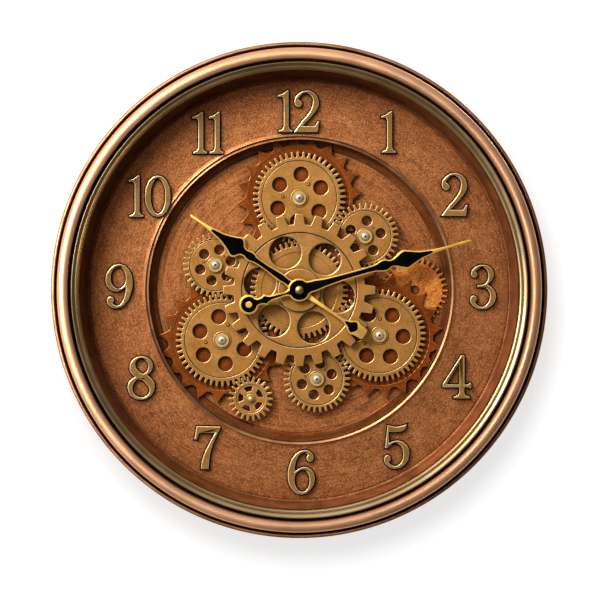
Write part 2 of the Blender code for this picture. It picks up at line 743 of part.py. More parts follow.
def gear_motor():
    """The motor that turns the train, under the right-hand gear, and its cell."""
    x, y = motor_centre()
    drive_case("gear_motor_case", (x, y), MOTOR_WIDTH, MOTOR_HEIGHT, -MOTOR_SHAFT_OFFSET)
    battery("gear_motor_battery", (x, y - MOTOR_SHAFT_OFFSET))
    shaft = [
        (0.0, POST_TOP),
        (POST_RADIUS, POST_TOP),
        (POST_RADIUS, PLATE_BACK),
        (0.0, PLATE_BACK),
    ]
    turned("motor_shaft", shaft, "steel", RIGHT[0], steps=PIN_STEPS, closed=False)


# Gears


def fine_gear(name, plan, holes, web_radius, hub_radius, bore, hub_front=FINE_FRONT + HUB_PROUD):
    """A fine-toothed gear: a proud rim and hub round a web with windows, its face turned back."""
    centre, teeth, phase = plan
    outlines = [fine_rim(teeth, phase), *holes, ring_points(bore, SMALL_STEPS)]
    gear = flat(name, outlines, FINE_BACK, hub_front, "antique_gold", centre)
    beyond = pitch_radius(teeth) + 2 * DEDENDUM
    clear = hub_front + FINE_THICKNESS
    web = FINE_FRONT - WEB_RELIEF
    relief = [
        (beyond, clear),
        (beyond, FINE_FRONT),
        (web_radius, FINE_FRONT),
        (web_radius - WEB_RELIEF / 2, web),
        (hub_radius, web),
        (hub_radius, clear),
    ]
    cut(gear, turned(name + "_face_cutter", relief, None, centre, steps=GEAR_STEPS))


def centre_gears():
    """The drive gear, the block-toothed gear in front of it and the disc on its hub."""
    hub_front = BLOCK_BACK - SEAT
    fine_gear("centre_drive_gear", DRIVE, [], DRIVE_WEB_RADIUS, DRIVE_HUB_RADIUS, CENTRE_BORE, hub_front)
    first = math.radians(50.5)
    windows = hole_circle(6, BLOCK_WINDOW_CIRCLE, BLOCK_WINDOW_RADIUS, first, BLOCK_WINDOW_SIDES)
    root = BLOCK_TIP_RADIUS - BLOCK_TOOTH_HEIGHT
    rim = toothed_rim(BLOCK_TEETH, root, BLOCK_TIP_RADIUS, BLOCK_TIP_HALF, BLOCK_GAP_HALF, 0.0)
    outlines = [rim, *windows, ring_points(CENTRE_BORE, SMALL_STEPS)]
    gear = flat("centre_gear", outlines, BLOCK_BACK, BLOCK_FRONT, "antique_gold")
    web = BLOCK_FRONT - BLOCK_WEB_RELIEF
    web_radius = root - BLOCK_RIM_WIDTH
    clear = BLOCK_FRONT + BLOCK_THICKNESS
    relief = [
        (web_radius, clear),
        (web_radius, BLOCK_FRONT),
        (web_radius - BLOCK_WEB_RELIEF / 2, web),
        (BLOCK_HUB_RADIUS, web),
        (BLOCK_HUB_RADIUS, clear),
    ]
    cut(gear, turned("centre_gear_face_cutter", relief, None, steps=CENTRE_STEPS))
    disc = [
        (HUB_DISC_RADIUS, HUB_DISC_FRONT),
        (HUB_DISC_RADIUS, HUB_DISC_BACK),
        (CENTRE_BORE, HUB_DISC_BACK),
        (CENTRE_BORE, HUB_DISC_FRONT),
    ]
    turned("centre_hub_disc", disc, "antique_gold", steps=GEAR_STEPS)


def star_gear(name, plan, phase):
    """A copper gear with pointed teeth behind a large gear, its face turned back inside the teeth."""
    centre = plan[0]
    hub_front = FINE_BACK - SEAT
    rim = toothed_rim(STAR_TEETH, STAR_ROOT_RADIUS, STAR_TIP_RADIUS, 0.0, STAR_GAP_HALF, phase)
    bore = ring_points(POST_BORE, PIN_STEPS)
    gear = flat(name, [rim, bore], STAR_BACK, hub_front, "burnt_copper", centre)
    beyond = STAR_TIP_RADIUS + STAR_TOOTH_HEIGHT
    groove = STAR_ROOT_RADIUS - STAR_GROOVE_INSET
    clear = hub_front + STAR_THICKNESS
    relief = [
        (beyond, clear),
        (beyond, STAR_FRONT),
        (groove, STAR_FRONT),
        (groove, STAR_FRONT - STAR_RELIEF),
        (STAR_HUB_RADIUS, STAR_FRONT - STAR_RELIEF),
        (STAR_HUB_RADIUS, clear),
    ]
    cut(gear, turned(name + "_face_cutter", relief, None, centre, steps=GEAR_STEPS))


def rear_gear():
    """A fixed copper gear just over the plate, standing on its own hub."""
    rim = fine_rim(REAR_TEETH, 0.0)
    gear = flat("rear_copper_gear", [rim], ON_PLATE, REAR_GEAR_FRONT, "burnt_copper", REAR_GEAR_PLACE)
    beyond = pitch_radius(REAR_TEETH) + 2 * DEDENDUM
    relief = [
        (beyond, REAR_GEAR_BACK),
        (beyond, 0.0),
        (REAR_GEAR_HUB_RADIUS, 0.0),
        (REAR_GEAR_HUB_RADIUS, REAR_GEAR_BACK),
    ]
    cut(gear, turned("rear_copper_gear_cutter", relief, None, REAR_GEAR_PLACE, steps=SMALL_STEPS))


def large_gear(name, plan, hole_phase):
    """One of the three large gears."""
    holes = hole_circle(6, LARGE_WINDOW_CIRCLE, LARGE_WINDOW_RADIUS, hole_phase, GEAR_WINDOW_SIDES)
    fine_gear(name, plan, holes, LARGE_WEB_RADIUS, LARGE_HUB_RADIUS, POST_BORE)


def small_gear(name, plan, hole_count, hole_phase):
    """One of the three small gears."""
    circle, window = SMALL_WINDOW_CIRCLE, SMALL_WINDOW_RADIUS
    holes = hole_circle(hole_count, circle, window, hole_phase, GEAR_WINDOW_SIDES)
    fine_gear(name, plan, holes, SMALL_WEB_RADIUS, SMALL_HUB_RADIUS, POST_BORE)


def train():
    """Every gear round the centre, with the star gears on the same axes."""
    large_gear("top_gear", TOP, math.radians(25.5))
    large_gear("lower_left_gear", LOWER_LEFT, math.radians(38.0))
    large_gear("right_gear", RIGHT, math.radians(57.5))
    small_gear("upper_right_gear", UPPER_RIGHT, 5, math.radians(12.0))
    small_gear("left_gear", LEFT, 6, math.radians(16.0))
    small_gear("bottom_gear", BOTTOM, 6, math.radians(18.5))
    windows = sector_windows(5, TINY_WINDOW_INNER, TINY_WINDOW_OUTER, math.radians(30.0), 0.62)
    fine_gear("tiny_gear", TINY, windows, TINY_WEB_RADIUS, TINY_HUB_RADIUS, PIN_RADIUS + RUNNING)
    star_gear("top_star_gear", TOP, math.radians(5.0))
    star_gear("lower_left_star_gear", LOWER_LEFT, math.radians(13.4))
    star_gear("right_star_gear", RIGHT, math.radians(6.3))
    rear_gear()


# Posts and fasteners


def post(name, centre, shoulder_front):
    """A post on the plate: a shoulder under the gear and a journal through it."""
    profile = [
        (0.0, POST_TOP),
        (POST_RADIUS, POST_TOP),
        (POST_RADIUS, shoulder_front),
        (POST_SHOULDER, shoulder_front),
        (POST_SHOULDER, ON_PLATE),
        (0.0, ON_PLATE),
    ]
    turned(name, profile, "brass", centre, steps=PIN_STEPS, closed=False)


def screw(name, centre):
    """A washer under a domed screw head."""
    head_back = WASHER_BACK + WASHER_THICKNESS
    profile = [
        (0.0, head_back + SCREW_HEAD_HEIGHT),
        (0.6 * SCREW_HEAD_RADIUS, head_back + 0.85 * SCREW_HEAD_HEIGHT),
        (SCREW_HEAD_RADIUS, head_back),
        (WASHER_RADIUS, head_back),
        (WASHER_RADIUS, WASHER_BACK),
        (0.0, WASHER_BACK),
    ]
    turned(name, profile, "steel", centre, steps=PIN_STEPS, closed=False)


def posts_and_screws():
    """What carries each gear and what keeps it on."""
    under_star = STAR_BACK - SEAT
    under_gear = FINE_BACK - SEAT
    stands = (
        ("top_gear", TOP, under_star),
        ("lower_left_gear", LOWER_LEFT, under_star),
        ("upper_right_gear", UPPER_RIGHT, under_gear),
        ("left_gear", LEFT, under_gear),
        ("bottom_gear", BOTTOM, under_gear),
    )
    for name, plan, shoulder_front in stands:
        post(name + "_post", plan[0], shoulder_front)
        screw(name + "_screw", plan[0])
    screw("right_gear_screw", RIGHT[0])
    pin = [
        (0.0, WASHER_BACK + PIN_HEAD_HEIGHT),
        (0.7 * PIN_HEAD_RADIUS, WASHER_BACK + 0.75 * PIN_HEAD_HEIGHT),
        (PIN_HEAD_RADIUS, WASHER_BACK),
        (PIN_RADIUS, WASHER_BACK),
        (PIN_RADIUS, ON_PLATE),
        (0.0, ON_PLATE),
    ]
    turned("tiny_gear_pin", pin, "brass", TINY[0], steps=PIN_STEPS, closed=False)


# Hands


def arc_stations(middle, radius, first, last, steps):
    """Stations (along, half width) of a round boss, from one angle off the hand's direction to another."""
    stations = []
    for step in range(steps + 1):
        angle = math.radians(first + (last - first) * step / steps)
        stations.append((middle + radius * math.cos(angle), radius * math.sin(angle)))
    return stations


def hand(name, stations, bore, back, direction):
    """A flat hand, the same on both sides of its line, turned to where it stands."""
    cosine, sine = math.cos(direction), math.sin(direction)
    outline = stations + [(along, -half) for along, half in reversed(stations)]
    turned_outline = [(x * cosine - y * sine, x * sine + y * cosine) for x, y in outline]
    holes = ring_points(bore, PIN_STEPS)
    flat(name, [turned_outline, holes], back, back + HAND_THICKNESS, "hand_gold")


def hour_hand():
    """The spade hour hand with the thin tail that ends in a small spade."""
    stations = [
        (HOUR_HAND_LENGTH, 0.0006),
        (0.0926, 0.0014),
        (0.0760, 0.0036),
        (0.0660, 0.0070),
        (0.0612, 0.0092),
        (0.0585, 0.0080),
        (0.0560, 0.0044),
        (0.0532, 0.0032),
        (0.0483, 0.0042),
        (0.0419, 0.0027),
        (0.0193, 0.0035),
        *arc_stations(0.0, HOUR_HUB_RADIUS, 26.0, 166.0, 6),
        (-0.0403, 0.0010),
        (-0.0500, 0.0018),
        (-0.0548, 0.0048),
        (-0.0600, 0.0040),
        (-0.0644, 0.0008),
    ]
    hand("hour_hand", stations, BUSHING_BORE, HOUR_HAND_BACK, HOUR_DIRECTION)


def minute_hand():
    """The long spade minute hand with a round counterweight."""
    stations = [
        (MINUTE_HAND_LENGTH, 0.0006),
        (0.1184, 0.0013),
        (0.1030, 0.0034),
        (0.0930, 0.0066),
        (0.0894, 0.0079),
        (0.0850, 0.0064),
        (0.0800, 0.0036),
        (0.0773, 0.0030),
        (0.0725, 0.0050),
        (0.0640, 0.0031),
        (0.0507, 0.0026),
        (0.0217, 0.0037),
        *arc_stations(0.0, MINUTE_HUB_RADIUS, 28.0, 162.0, 6),
        (-0.0177, 0.0020),
        (-0.0260, 0.0030),
        (-0.0282, 0.0044),
        (-0.0310, 0.0032),
        *arc_stations(-COUNTERWEIGHT_OFFSET, COUNTERWEIGHT_RADIUS, 26.0, 172.0, 6),
    ]
    hand("minute_hand", stations, HOUR_PIPE_BORE, MINUTE_HAND_BACK, MINUTE_DIRECTION)


def hands():
    """The hour pipe and minute arbor with their hands, and the cap."""
    pipe_front = HOUR_HAND_BACK + HAND_THICKNESS + SEAT
    pipe = [
        (HOUR_PIPE_RADIUS, pipe_front),
        (HOUR_PIPE_RADIUS, PLATE_BACK),
        (HOUR_PIPE_BORE, PLATE_BACK),
        (HOUR_PIPE_BORE, pipe_front),
    ]
    turned("hour_pipe", pipe, "brass", steps=SMALL_STEPS)
    arbor = [
        (0.0, ARBOR_TOP),
        (MINUTE_ARBOR_RADIUS, ARBOR_TOP),
        (MINUTE_ARBOR_RADIUS, PLATE_BACK),
        (0.0, PLATE_BACK),
    ]
    turned("minute_arbor", arbor, "steel", steps=PIN_STEPS, closed=False)
    hour_hand()
    minute_hand()
    cap_back = ARBOR_TOP + SEAT
    cap = [
        (0.0, cap_back + CAP_HEIGHT),
        (0.6 * CAP_RADIUS, cap_back + 0.8 * CAP_HEIGHT),
        (CAP_RADIUS, cap_back + 0.2 * CAP_HEIGHT),
        (CAP_RADIUS, cap_back),
        (0.0, cap_back),
    ]
    turned("hand_cap", cap, "hand_gold", steps=SMALL_STEPS, closed=False)


# Numerals

DIGITS = {
    "0": (
        26.4,
        [
            [(13.2, 42.9, True), (22.2, 37.5, True), (26.3, 21.5, True), (22.2, 5.5, True),
             (13.2, 0.1, True), (4.2, 5.5, True), (0.1, 21.5, True), (4.2, 37.5, True)],
            [(13.4, 40.0, True), (19.0, 34.5, True), (20.9, 21.5, True), (19.0, 8.5, True),
             (13.4, 3.0, True), (8.0, 8.5, True), (6.0, 21.5, True), (8.0, 34.5, True)],
        ],
    ),
    "1": (
        15.6,
        [
            [(1.2, 0.0), (15.4, 0.0), (15.4, 1.5), (12.6, 2.6), (11.4, 6.0), (11.4, 43.0),
             (9.8, 43.0), (5.0, 39.4), (0.2, 38.0), (0.4, 36.2), (5.0, 36.6), (6.4, 33.5),
             (6.4, 6.0), (5.0, 2.8), (1.2, 1.5)],
        ],
    ),
    "2": (
        26.0,
        [
            [(0.0, 0.0), (24.4, 0.0), (26.0, 10.8), (24.4, 10.8), (21.6, 6.0), (8.2, 6.0),
             (17.5, 15.5, True), (24.6, 25.5, True), (25.4, 31.5, True), (21.0, 40.0, True),
             (13.4, 43.0, True), (4.0, 39.0, True), (0.2, 31.3, True), (4.2, 25.6, True),
             (8.2, 28.6, True), (6.4, 32.0, True), (3.9, 33.8), (8.5, 39.7, True),
             (14.0, 40.2, True), (18.6, 36.5, True), (19.7, 31.5, True), (16.4, 21.0, True),
             (8.5, 11.5, True)],
        ],
    ),
    "3": (
        26.0,
        [
            [(13.5, 43.7, True), (21.6, 39.8, True), (23.5, 33.5, True), (21.0, 27.5, True),
             (17.0, 24.3), (23.0, 19.5, True), (25.8, 11.8, True), (21.5, 2.8, True),
             (10.5, -0.7, True), (2.0, 3.5, True), (0.0, 9.5, True), (3.4, 13.2, True),
             (7.0, 10.0, True), (4.6, 6.2), (9.0, 2.0, True), (15.5, 2.8, True),
             (20.1, 12.3, True), (17.6, 18.9, True), (12.5, 21.4, True), (7.4, 21.2),
             (7.4, 23.6), (13.0, 23.8, True), (17.2, 27.5, True), (18.2, 33.5, True),
             (16.0, 39.6, True), (11.0, 41.4, True), (5.2, 37.0), (7.3, 33.5, True),
             (4.0, 30.6, True), (0.8, 34.5, True), (4.4, 41.0, True)],
        ],
    ),
    "4": (
        29.2,
        [
            [(11.4, 0.0), (27.4, 0.0), (27.4, 1.6), (23.4, 2.8), (22.0, 5.8), (22.0, 11.2),
             (26.4, 11.2), (27.6, 9.6), (28.8, 10.2), (29.2, 12.6), (28.6, 15.2), (27.2, 15.4),
             (26.2, 13.8), (22.0, 13.8), (22.0, 43.0), (19.0, 43.0), (0.6, 14.4), (0.4, 11.2),
             (17.0, 11.2), (17.0, 5.8), (15.6, 2.8), (11.4, 1.6)],
            [(17.2, 36.0), (17.2, 13.8), (4.0, 13.8)],
        ],
    ),
    "5": (
        26.0,
        [
            [(3.9, 43.0), (13.0, 41.2, True), (22.8, 43.6), (21.0, 38.4, True), (13.0, 36.2, True),
             (5.0, 36.6), (5.2, 24.8), (13.5, 27.6, True), (22.5, 23.6, True), (25.6, 14.6, True),
             (21.0, 3.4, True), (10.5, -0.6, True), (2.2, 3.8, True), (0.2, 9.3, True),
             (3.8, 13.2, True), (7.1, 9.5, True), (4.7, 5.4), (10.5, 1.8, True),
             (17.0, 5.0, True), (19.6, 14.8, True), (17.0, 22.8, True), (10.5, 25.0, True),
             (5.0, 21.4), (3.4, 19.8), (1.4, 20.2)],
        ],
    ),
    "6": (
        27.4,
        [
            [(16.5, 43.7, True), (8.5, 40.5, True), (1.6, 28.5, True), (0.0, 17.0, True),
             (4.0, 4.8, True), (13.5, -0.7, True), (23.0, 4.5, True), (27.1, 15.5, True),
             (23.2, 24.4, True), (15.0, 26.9, True), (6.6, 21.6), (7.2, 28.5, True),
             (10.4, 37.5, True), (15.5, 41.5, True), (20.4, 38.8), (18.6, 35.5, True),
             (22.2, 31.9, True), (25.8, 36.0, True), (22.5, 42.0, True)],
            [(15.0, 24.0, True), (20.2, 20.5, True), (21.8, 14.0, True), (20.0, 5.5, True),
             (14.2, 1.8, True), (8.6, 6.0, True), (6.7, 15.0, True), (9.0, 21.5, True)],
        ],
    ),
    "7": (
        27.0,
        [
            [(3.0, 43.0), (26.8, 42.6), (26.6, 41.0), (19.8, 26.5, True), (16.2, 14.0, True),
             (15.0, 0.2), (7.4, 0.2), (8.2, 7.5, True), (12.0, 18.5, True), (21.6, 36.4),
             (7.6, 36.4), (5.0, 35.6), (3.2, 29.8), (0.8, 29.8)],
        ],
    ),
    "8": (
        27.2,
        [
            [(13.6, 43.3, True), (22.4, 40.0, True), (25.2, 33.5, True), (23.4, 28.0, True),
             (19.4, 24.6), (25.0, 19.6, True), (27.2, 13.0, True), (23.0, 3.5, True),
             (13.0, -0.2, True), (3.6, 3.5, True), (0.0, 12.6, True), (2.6, 19.0, True),
             (7.6, 22.4), (3.2, 27.0, True), (2.0, 32.5, True), (5.0, 39.6, True)],
            [(14.0, 41.2, True), (19.4, 38.0, True), (20.8, 32.5, True), (16.0, 25.6, True),
             (9.4, 30.0, True), (7.4, 35.5, True), (10.0, 40.2, True)],
            [(10.6, 20.6, True), (19.0, 15.2, True), (22.2, 9.6, True), (19.0, 3.6, True),
             (13.0, 2.0, True), (7.0, 5.0, True), (4.7, 11.0, True), (6.6, 17.0, True)],
        ],
    ),
}


def nine():
    """The 9 is the 6 turned half round."""
    width, outlines = DIGITS["6"]
    turned_round = [[(width - p[0], NUMERAL_GRID - p[1], *p[2:]) for p in outline] for outline in outlines]
    return width, turned_round


def digit(name, figure, left, middle, scale):
    """Set one raised digit with its left side at a place and its waist at a height."""
    width, outlines = nine() if figure == "9" else DIGITS[figure]
    unit = scale * NUMERAL_HEIGHT / NUMERAL_GRID
    centre = (left + width * unit / 2, middle)
    placed = []
    for outline in outlines:
        placed.append([((p[0] - width / 2) * unit, (p[1] - NUMERAL_GRID / 2) * unit, *p[2:]) for p in outline])
    back = DIAL_FACE_DEPTH + SEAT
    flat(name, placed, back, back + NUMERAL_THICKNESS, "numeral_bronze", centre)
    return width * unit


def numerals():
    """The twelve upright numerals, with a separate solid for each digit of a pair."""
    for hour in range(1, 13):
        figures = str(hour)
        scale = PAIR_SCALE if "1" in figures else 1.0
        unit = scale * NUMERAL_HEIGHT / NUMERAL_GRID
        gap = 1.5 * unit
        widths = [(nine() if f == "9" else DIGITS[f])[0] * unit for f in figures]
        angle = math.pi / 2 - math.tau * hour / 12
        nudge = NUMERAL_NUDGE[hour]
        left = NUMERAL_CIRCLE * math.cos(angle) + nudge[0] - (sum(widths) + gap * (len(figures) - 1)) / 2
        middle = NUMERAL_CIRCLE * math.sin(angle) + nudge[1]
        for order, figure in enumerate(figures):
            name = f"numeral_{hour}" if len(figures) == 1 else f"numeral_{hour}_digit_{order + 1}"
            left += digit(name, figure, left, middle, scale) + gap


frame_ring()
bezel_ring()
dial_ring()
gear_plate()
back_cover()
movement()
gear_motor()
centre_gears()
train()
posts_and_screws()
hands()
numerals()
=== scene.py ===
import json
import math

import bmesh
import bpy
from mathutils import Matrix, Vector

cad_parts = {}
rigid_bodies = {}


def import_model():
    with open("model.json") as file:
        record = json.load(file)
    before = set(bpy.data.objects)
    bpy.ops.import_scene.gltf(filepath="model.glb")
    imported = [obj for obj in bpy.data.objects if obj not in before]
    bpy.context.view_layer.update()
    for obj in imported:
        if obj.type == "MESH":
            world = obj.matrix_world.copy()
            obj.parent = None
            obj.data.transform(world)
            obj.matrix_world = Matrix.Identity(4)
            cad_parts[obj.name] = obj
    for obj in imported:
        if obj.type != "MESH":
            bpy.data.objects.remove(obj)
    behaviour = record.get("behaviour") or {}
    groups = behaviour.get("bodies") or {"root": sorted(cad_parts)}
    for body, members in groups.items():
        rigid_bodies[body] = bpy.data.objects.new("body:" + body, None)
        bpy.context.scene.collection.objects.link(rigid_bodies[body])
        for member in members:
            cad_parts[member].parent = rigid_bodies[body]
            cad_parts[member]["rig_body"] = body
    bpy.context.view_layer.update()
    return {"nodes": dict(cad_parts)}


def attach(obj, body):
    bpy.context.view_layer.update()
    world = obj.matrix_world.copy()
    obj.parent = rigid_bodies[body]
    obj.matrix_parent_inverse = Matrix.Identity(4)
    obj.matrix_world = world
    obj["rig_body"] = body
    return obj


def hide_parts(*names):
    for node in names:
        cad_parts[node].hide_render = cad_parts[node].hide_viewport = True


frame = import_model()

# Gear wall clock: smooth, finished pieces in the place of the plain solids.
# A piece is drawn with x to the right, y up the dial and z out of the wall, then stood upright.

UPRIGHT = Matrix(((1, 0, 0, 0), (0, 0, -1, 0), (0, 1, 0, 0), (0, 0, 0, 1)))
NODES = frame["nodes"]
CENTRE = (0.0, 0.0)

# Frame, bezel and dial, in metres
FRAME_RADIUS = 0.2
FRAME_INSIDE = 0.1958
LIP_DEPTH = 0.0502
MOUTH_RADIUS = 0.1864
LEDGE_RADIUS = 0.179
LEDGE_BACK = 0.0404
LEDGE_FRONT = 0.0434
BEZEL_RADIUS = 0.184
BEZEL_MOUTH = 0.1772
BEZEL_BACK = 0.046
FOOT_RADIUS = 0.1861
FOOT_FRONT = 0.049
DIAL_WALL_RADIUS = 0.1769
DIAL_FACE = 0.036
DIAL_FACE_BACK = 0.034
DIAL_FLANGE = 0.0457
DIAL_WALL_FRONT = 0.0505
DIAL_HOLE = 0.12175
DIAL_LIP_RADIUS = 0.1237
DIAL_LIP_BACK = 0.0275
PLATE_BACK = 0.018
PLATE_FRONT = 0.0205
BAND_FRONT = 0.0216
PLATE_RADIUS = 0.15174
BAND_RADIUS = 0.1154
PLATE_EDGE_BACK = 0.0053
FLOOR_SEAT = 0.0208

# Layers of the train
STAR_BACK, STAR_FRONT, STAR_HUB_FRONT = 0.0235, 0.0251, 0.0267
FINE_BACK, FINE_FRONT, FINE_HUB_FRONT = 0.027, 0.03, 0.0304
DRIVE_HUB_FRONT = 0.0327
BLOCK_BACK, BLOCK_FRONT = 0.033, 0.038
HUB_BACK, HUB_FRONT = 0.0383, 0.04
POST_TOP = 0.0307
WASHER_BACK, WASHER_FRONT = 0.031, 0.032
HOUR_BACK = 0.042
MINUTE_BACK = 0.045
HAND_THICKNESS = 0.0012
CAP_BACK, CAP_FRONT = 0.0465, 0.0491
CORE_RADIUS = 0.0008

# The train's plan
MODULE = 0.0015
MESH_PLAY = 0.00035
TOOTH_RISE = MODULE
TOOTH_DROP = 1.87 * MODULE
POST_BORE = 0.00295
CENTRE_BORE = 0.0044
BLOCK_WEB_RADIUS = 0.04696


def around(radius, angle, centre=CENTRE):
    """The point at a radius and an angle from a centre."""
    return centre[0] + radius * math.cos(angle), centre[1] + radius * math.sin(angle)


def meshed(driver, direction, teeth):
    """The centre, teeth and phase of a gear that meshes with a driver in a direction in degrees."""
    centre, driver_teeth, driver_phase = driver
    direction = math.radians(direction)
    place = around((driver_teeth + teeth) * MODULE / 2 + MESH_PLAY, direction, centre)
    along = driver_teeth * (direction - driver_phase) / math.tau
    return place, teeth, direction + math.pi - (math.tau / teeth) * (0.5 - along)


DRIVE = (CENTRE, 51, 0.0)
TOP = meshed(DRIVE, 90.0, 48)
LOWER_LEFT = meshed(DRIVE, 213.0, 48)
RIGHT = meshed(DRIVE, 330.5, 48)
UPPER_RIGHT = meshed(TOP, -30.25, 34)
LEFT = meshed(LOWER_LEFT, 95.1, 33)
TINY = meshed(LOWER_LEFT, -64.0, 22)
BOTTOM = meshed(RIGHT, 215.0, 34)
REAR = ((0.0936, -0.0004), 34, 0.0)


# Finishes

# Sockets of the colour mixing node
FIRST_COLOUR, SECOND_COLOUR, MIXED_COLOUR = 6, 7, 2

# From where to where in a noise, or in the ambient occlusion of a corner, a mark or a painted shade fades in
TARNISH = (0.45, 0.68)
STREAKS = (0.45, 0.7)
FLECKS = (0.34, 0.47)
OCCLUSION_FADE = (0.3, 0.9)

# Tints laid over the metal: a stain, painted shade in corners, and painted shade towards the dial's rim
STAIN_TINT = (0.35, 0.25, 0.2)
CORNER_SHADE_TINT = (0.05, 0.02, 0.008)
RIM_SHADE_TINT = (0.5, 0.42, 0.38)
# The painted rim shade is measured from a point set aside to the lower right, so it is darkest at the upper
# left, where the frame's shadow falls.
RIM_SHADE_ASIDE = 0.0075


def link(source, outlet, target, inlet):
    """Join two nodes of one material."""
    source.id_data.links.new(source.outputs[outlet], target.inputs[inlet])


def set_sockets(made, values):
    for inlet, value in values.items():
        made.inputs[inlet].default_value = value


def node(tree, kind, values=None, operation=None):
    """A shader node of a kind, with values on its sockets and the operation that it does."""
    made = tree.nodes.new("ShaderNode" + kind)
    if operation:
        made.operation = operation
    set_sockets(made, values or {})
    return made


def noise(tree, scale, detail):
    """A noise laid on the piece's own coordinates."""
    grain = node(tree, "TexNoise", {"Scale": scale, "Detail": detail})
    link(node(tree, "TexCoord"), "Object", grain, "Vector")
    return grain


def spread(source, outlet, low, high, darkest=0.3, brightest=0.7):
    """Stretch a noise between two values."""
    ends = {"From Min": darkest, "From Max": brightest, "To Min": low, "To Max": high}
    ranged = node(source.id_data, "MapRange", ends)
    link(source, outlet, ranged, "Value")
    return ranged


def two_tones(tree, source, first, second):
    """Colours that change from one to another with a noise."""
    ramp = node(tree, "ValToRGB")
    for stop, position, colour in zip(ramp.color_ramp.elements, (0.35, 0.65), (first, second)):
        stop.position = position
        stop.color = (*colour, 1.0)
    link(source, "Fac", ramp, "Fac")
    return ramp


def from_axis(tree, aside=0.0):
    """The way and the distance from the clock's axis, or from a line set aside from it."""
    flat = node(tree, "VectorMath", {1: (1.0, 0.0, 1.0), 2: (-aside, 0.0, aside)}, "MULTIPLY_ADD")
    radius = node(tree, "VectorMath", operation="LENGTH")
    link(node(tree, "TexCoord"), "Object", flat, 0)
    link(flat, "Vector", radius, 0)
    return flat, radius


def turned_grain(tree, across, along):
    """A noise drawn out in rings round the clock's axis, as a brush leaves on a turning disc."""
    flat, radius = from_axis(tree)
    direction = node(tree, "VectorMath", operation="NORMALIZE")
    rings = node(tree, "Math", {1: across}, "MULTIPLY")
    round_the_axis = node(tree, "VectorMath", {"Scale": along}, "SCALE")
    parts = node(tree, "SeparateXYZ")
    joined = node(tree, "CombineXYZ")
    grain = node(tree, "TexNoise", {"Scale": 1.0, "Detail": 3.0})
    link(flat, "Vector", direction, 0)
    link(radius, "Value", rings, 0)
    link(direction, "Vector", round_the_axis, 0)
    link(round_the_axis, "Vector", parts, 0)
    link(parts, "X", joined, "X")
    link(rings, "Value", joined, "Y")
    link(parts, "Z", joined, "Z")
    link(joined, "Vector", grain, "Vector")
    return grain


def overlay(factor, base, colour, blend):
    """One colour laid over another by a factor."""
    mix = node(factor.id_data, "Mix")
    mix.data_type = "RGBA"
    mix.blend_type = blend
    mix.inputs[SECOND_COLOUR].default_value = (*colour, 1.0)
    link(factor, "Result", mix, 0)
    mix.id_data.links.new(base, mix.inputs[FIRST_COLOUR])
    return mix.outputs[MIXED_COLOUR]


def finish(name, dark, light, roughness, metallic=0.6, patch=90.0, grain=1400.0, bump=0.05, speck=0.1,
           coat=0.0, depth=0.0001, brushed=None, fleck=None, flecks=0.4, corners=0.8, reach=0.0045, gloss=0.1,
           rim_shade=None):
    """A surface with patches of tone, a fine grain that dents it, specks of tarnish and of bare metal,
    painted shade darker towards the dial's rim when a rim shade is given, and painted shade in its corners."""
    material = bpy.data.materials.new(name)
    material.use_nodes = True
    tree = material.node_tree
    shader = tree.nodes["Principled BSDF"]
    look = {"Metallic": metallic, "Specular IOR Level": gloss, "Coat Weight": coat, "Coat Roughness": 0.12}
    set_sockets(shader, look)
    patches = two_tones(tree, noise(tree, patch, 4.0), dark, light)
    fine = noise(tree, grain, 3.0)
    tarnish = spread(fine, "Fac", 0.0, speck, *TARNISH)
    colour = overlay(tarnish, patches.outputs["Color"], STAIN_TINT, "MULTIPLY")
    if brushed:
        streaks = spread(turned_grain(tree, *brushed), "Fac", 0.0, speck, *STREAKS)
        colour = overlay(streaks, colour, STAIN_TINT, "MULTIPLY")
    if fleck:
        colour = overlay(spread(fine, "Fac", flecks, 0.0, *FLECKS), colour, fleck, "MIX")
    # Painted shade: darker towards the dial's rim, most at the upper left, as the frame's shadow.
    if rim_shade:
        edge = spread(from_axis(tree, RIM_SHADE_ASIDE)[1], "Value", 0.0, 1.0, *rim_shade)
        colour = overlay(edge, colour, RIM_SHADE_TINT, "MULTIPLY")
    # Painted shade: darker in corners and hollows where ambient occlusion finds other surfaces near.
    if corners > 0.0:
        occlusion = node(tree, "AmbientOcclusion", {"Distance": reach})
        occlusion.samples = 6
        painted_shade = spread(occlusion, "AO", corners, 0.0, *OCCLUSION_FADE)
        colour = overlay(painted_shade, colour, CORNER_SHADE_TINT, "MULTIPLY")
    tree.links.new(colour, shader.inputs["Base Color"])
    dull = spread(noise(tree, patch * 2.6, 5.0), "Fac", roughness * 0.8, roughness * 1.25)
    link(dull, "Result", shader, "Roughness")
    dents = node(tree, "Bump", {"Strength": bump, "Distance": depth})
    link(fine, "Fac", dents, "Height")
    link(dents, "Normal", shader, "Normal")
    return material


# Unless corners is 0, a finish is painted darker in its corners and hollows: painted shade.
FRAME_COPPER = finish(
    "frame_copper", (0.64, 0.325, 0.165), (0.75, 0.4, 0.215), 0.42, metallic=0.7, patch=18.0, bump=0.02,
    speck=0.08, corners=0.0)
# The dial is painted darker towards its rim and its upper left: painted shade of the frame.
DIAL_COPPER = finish(
    "dial_copper", (0.41, 0.134, 0.037), (0.53, 0.186, 0.055), 0.46, patch=60.0, grain=1100.0, bump=0.6,
    speck=0.6, depth=0.0002, brushed=(700.0, 16.0), fleck=(0.66, 0.3, 0.13), flecks=0.7, reach=0.006,
    rim_shade=(0.146, 0.18))
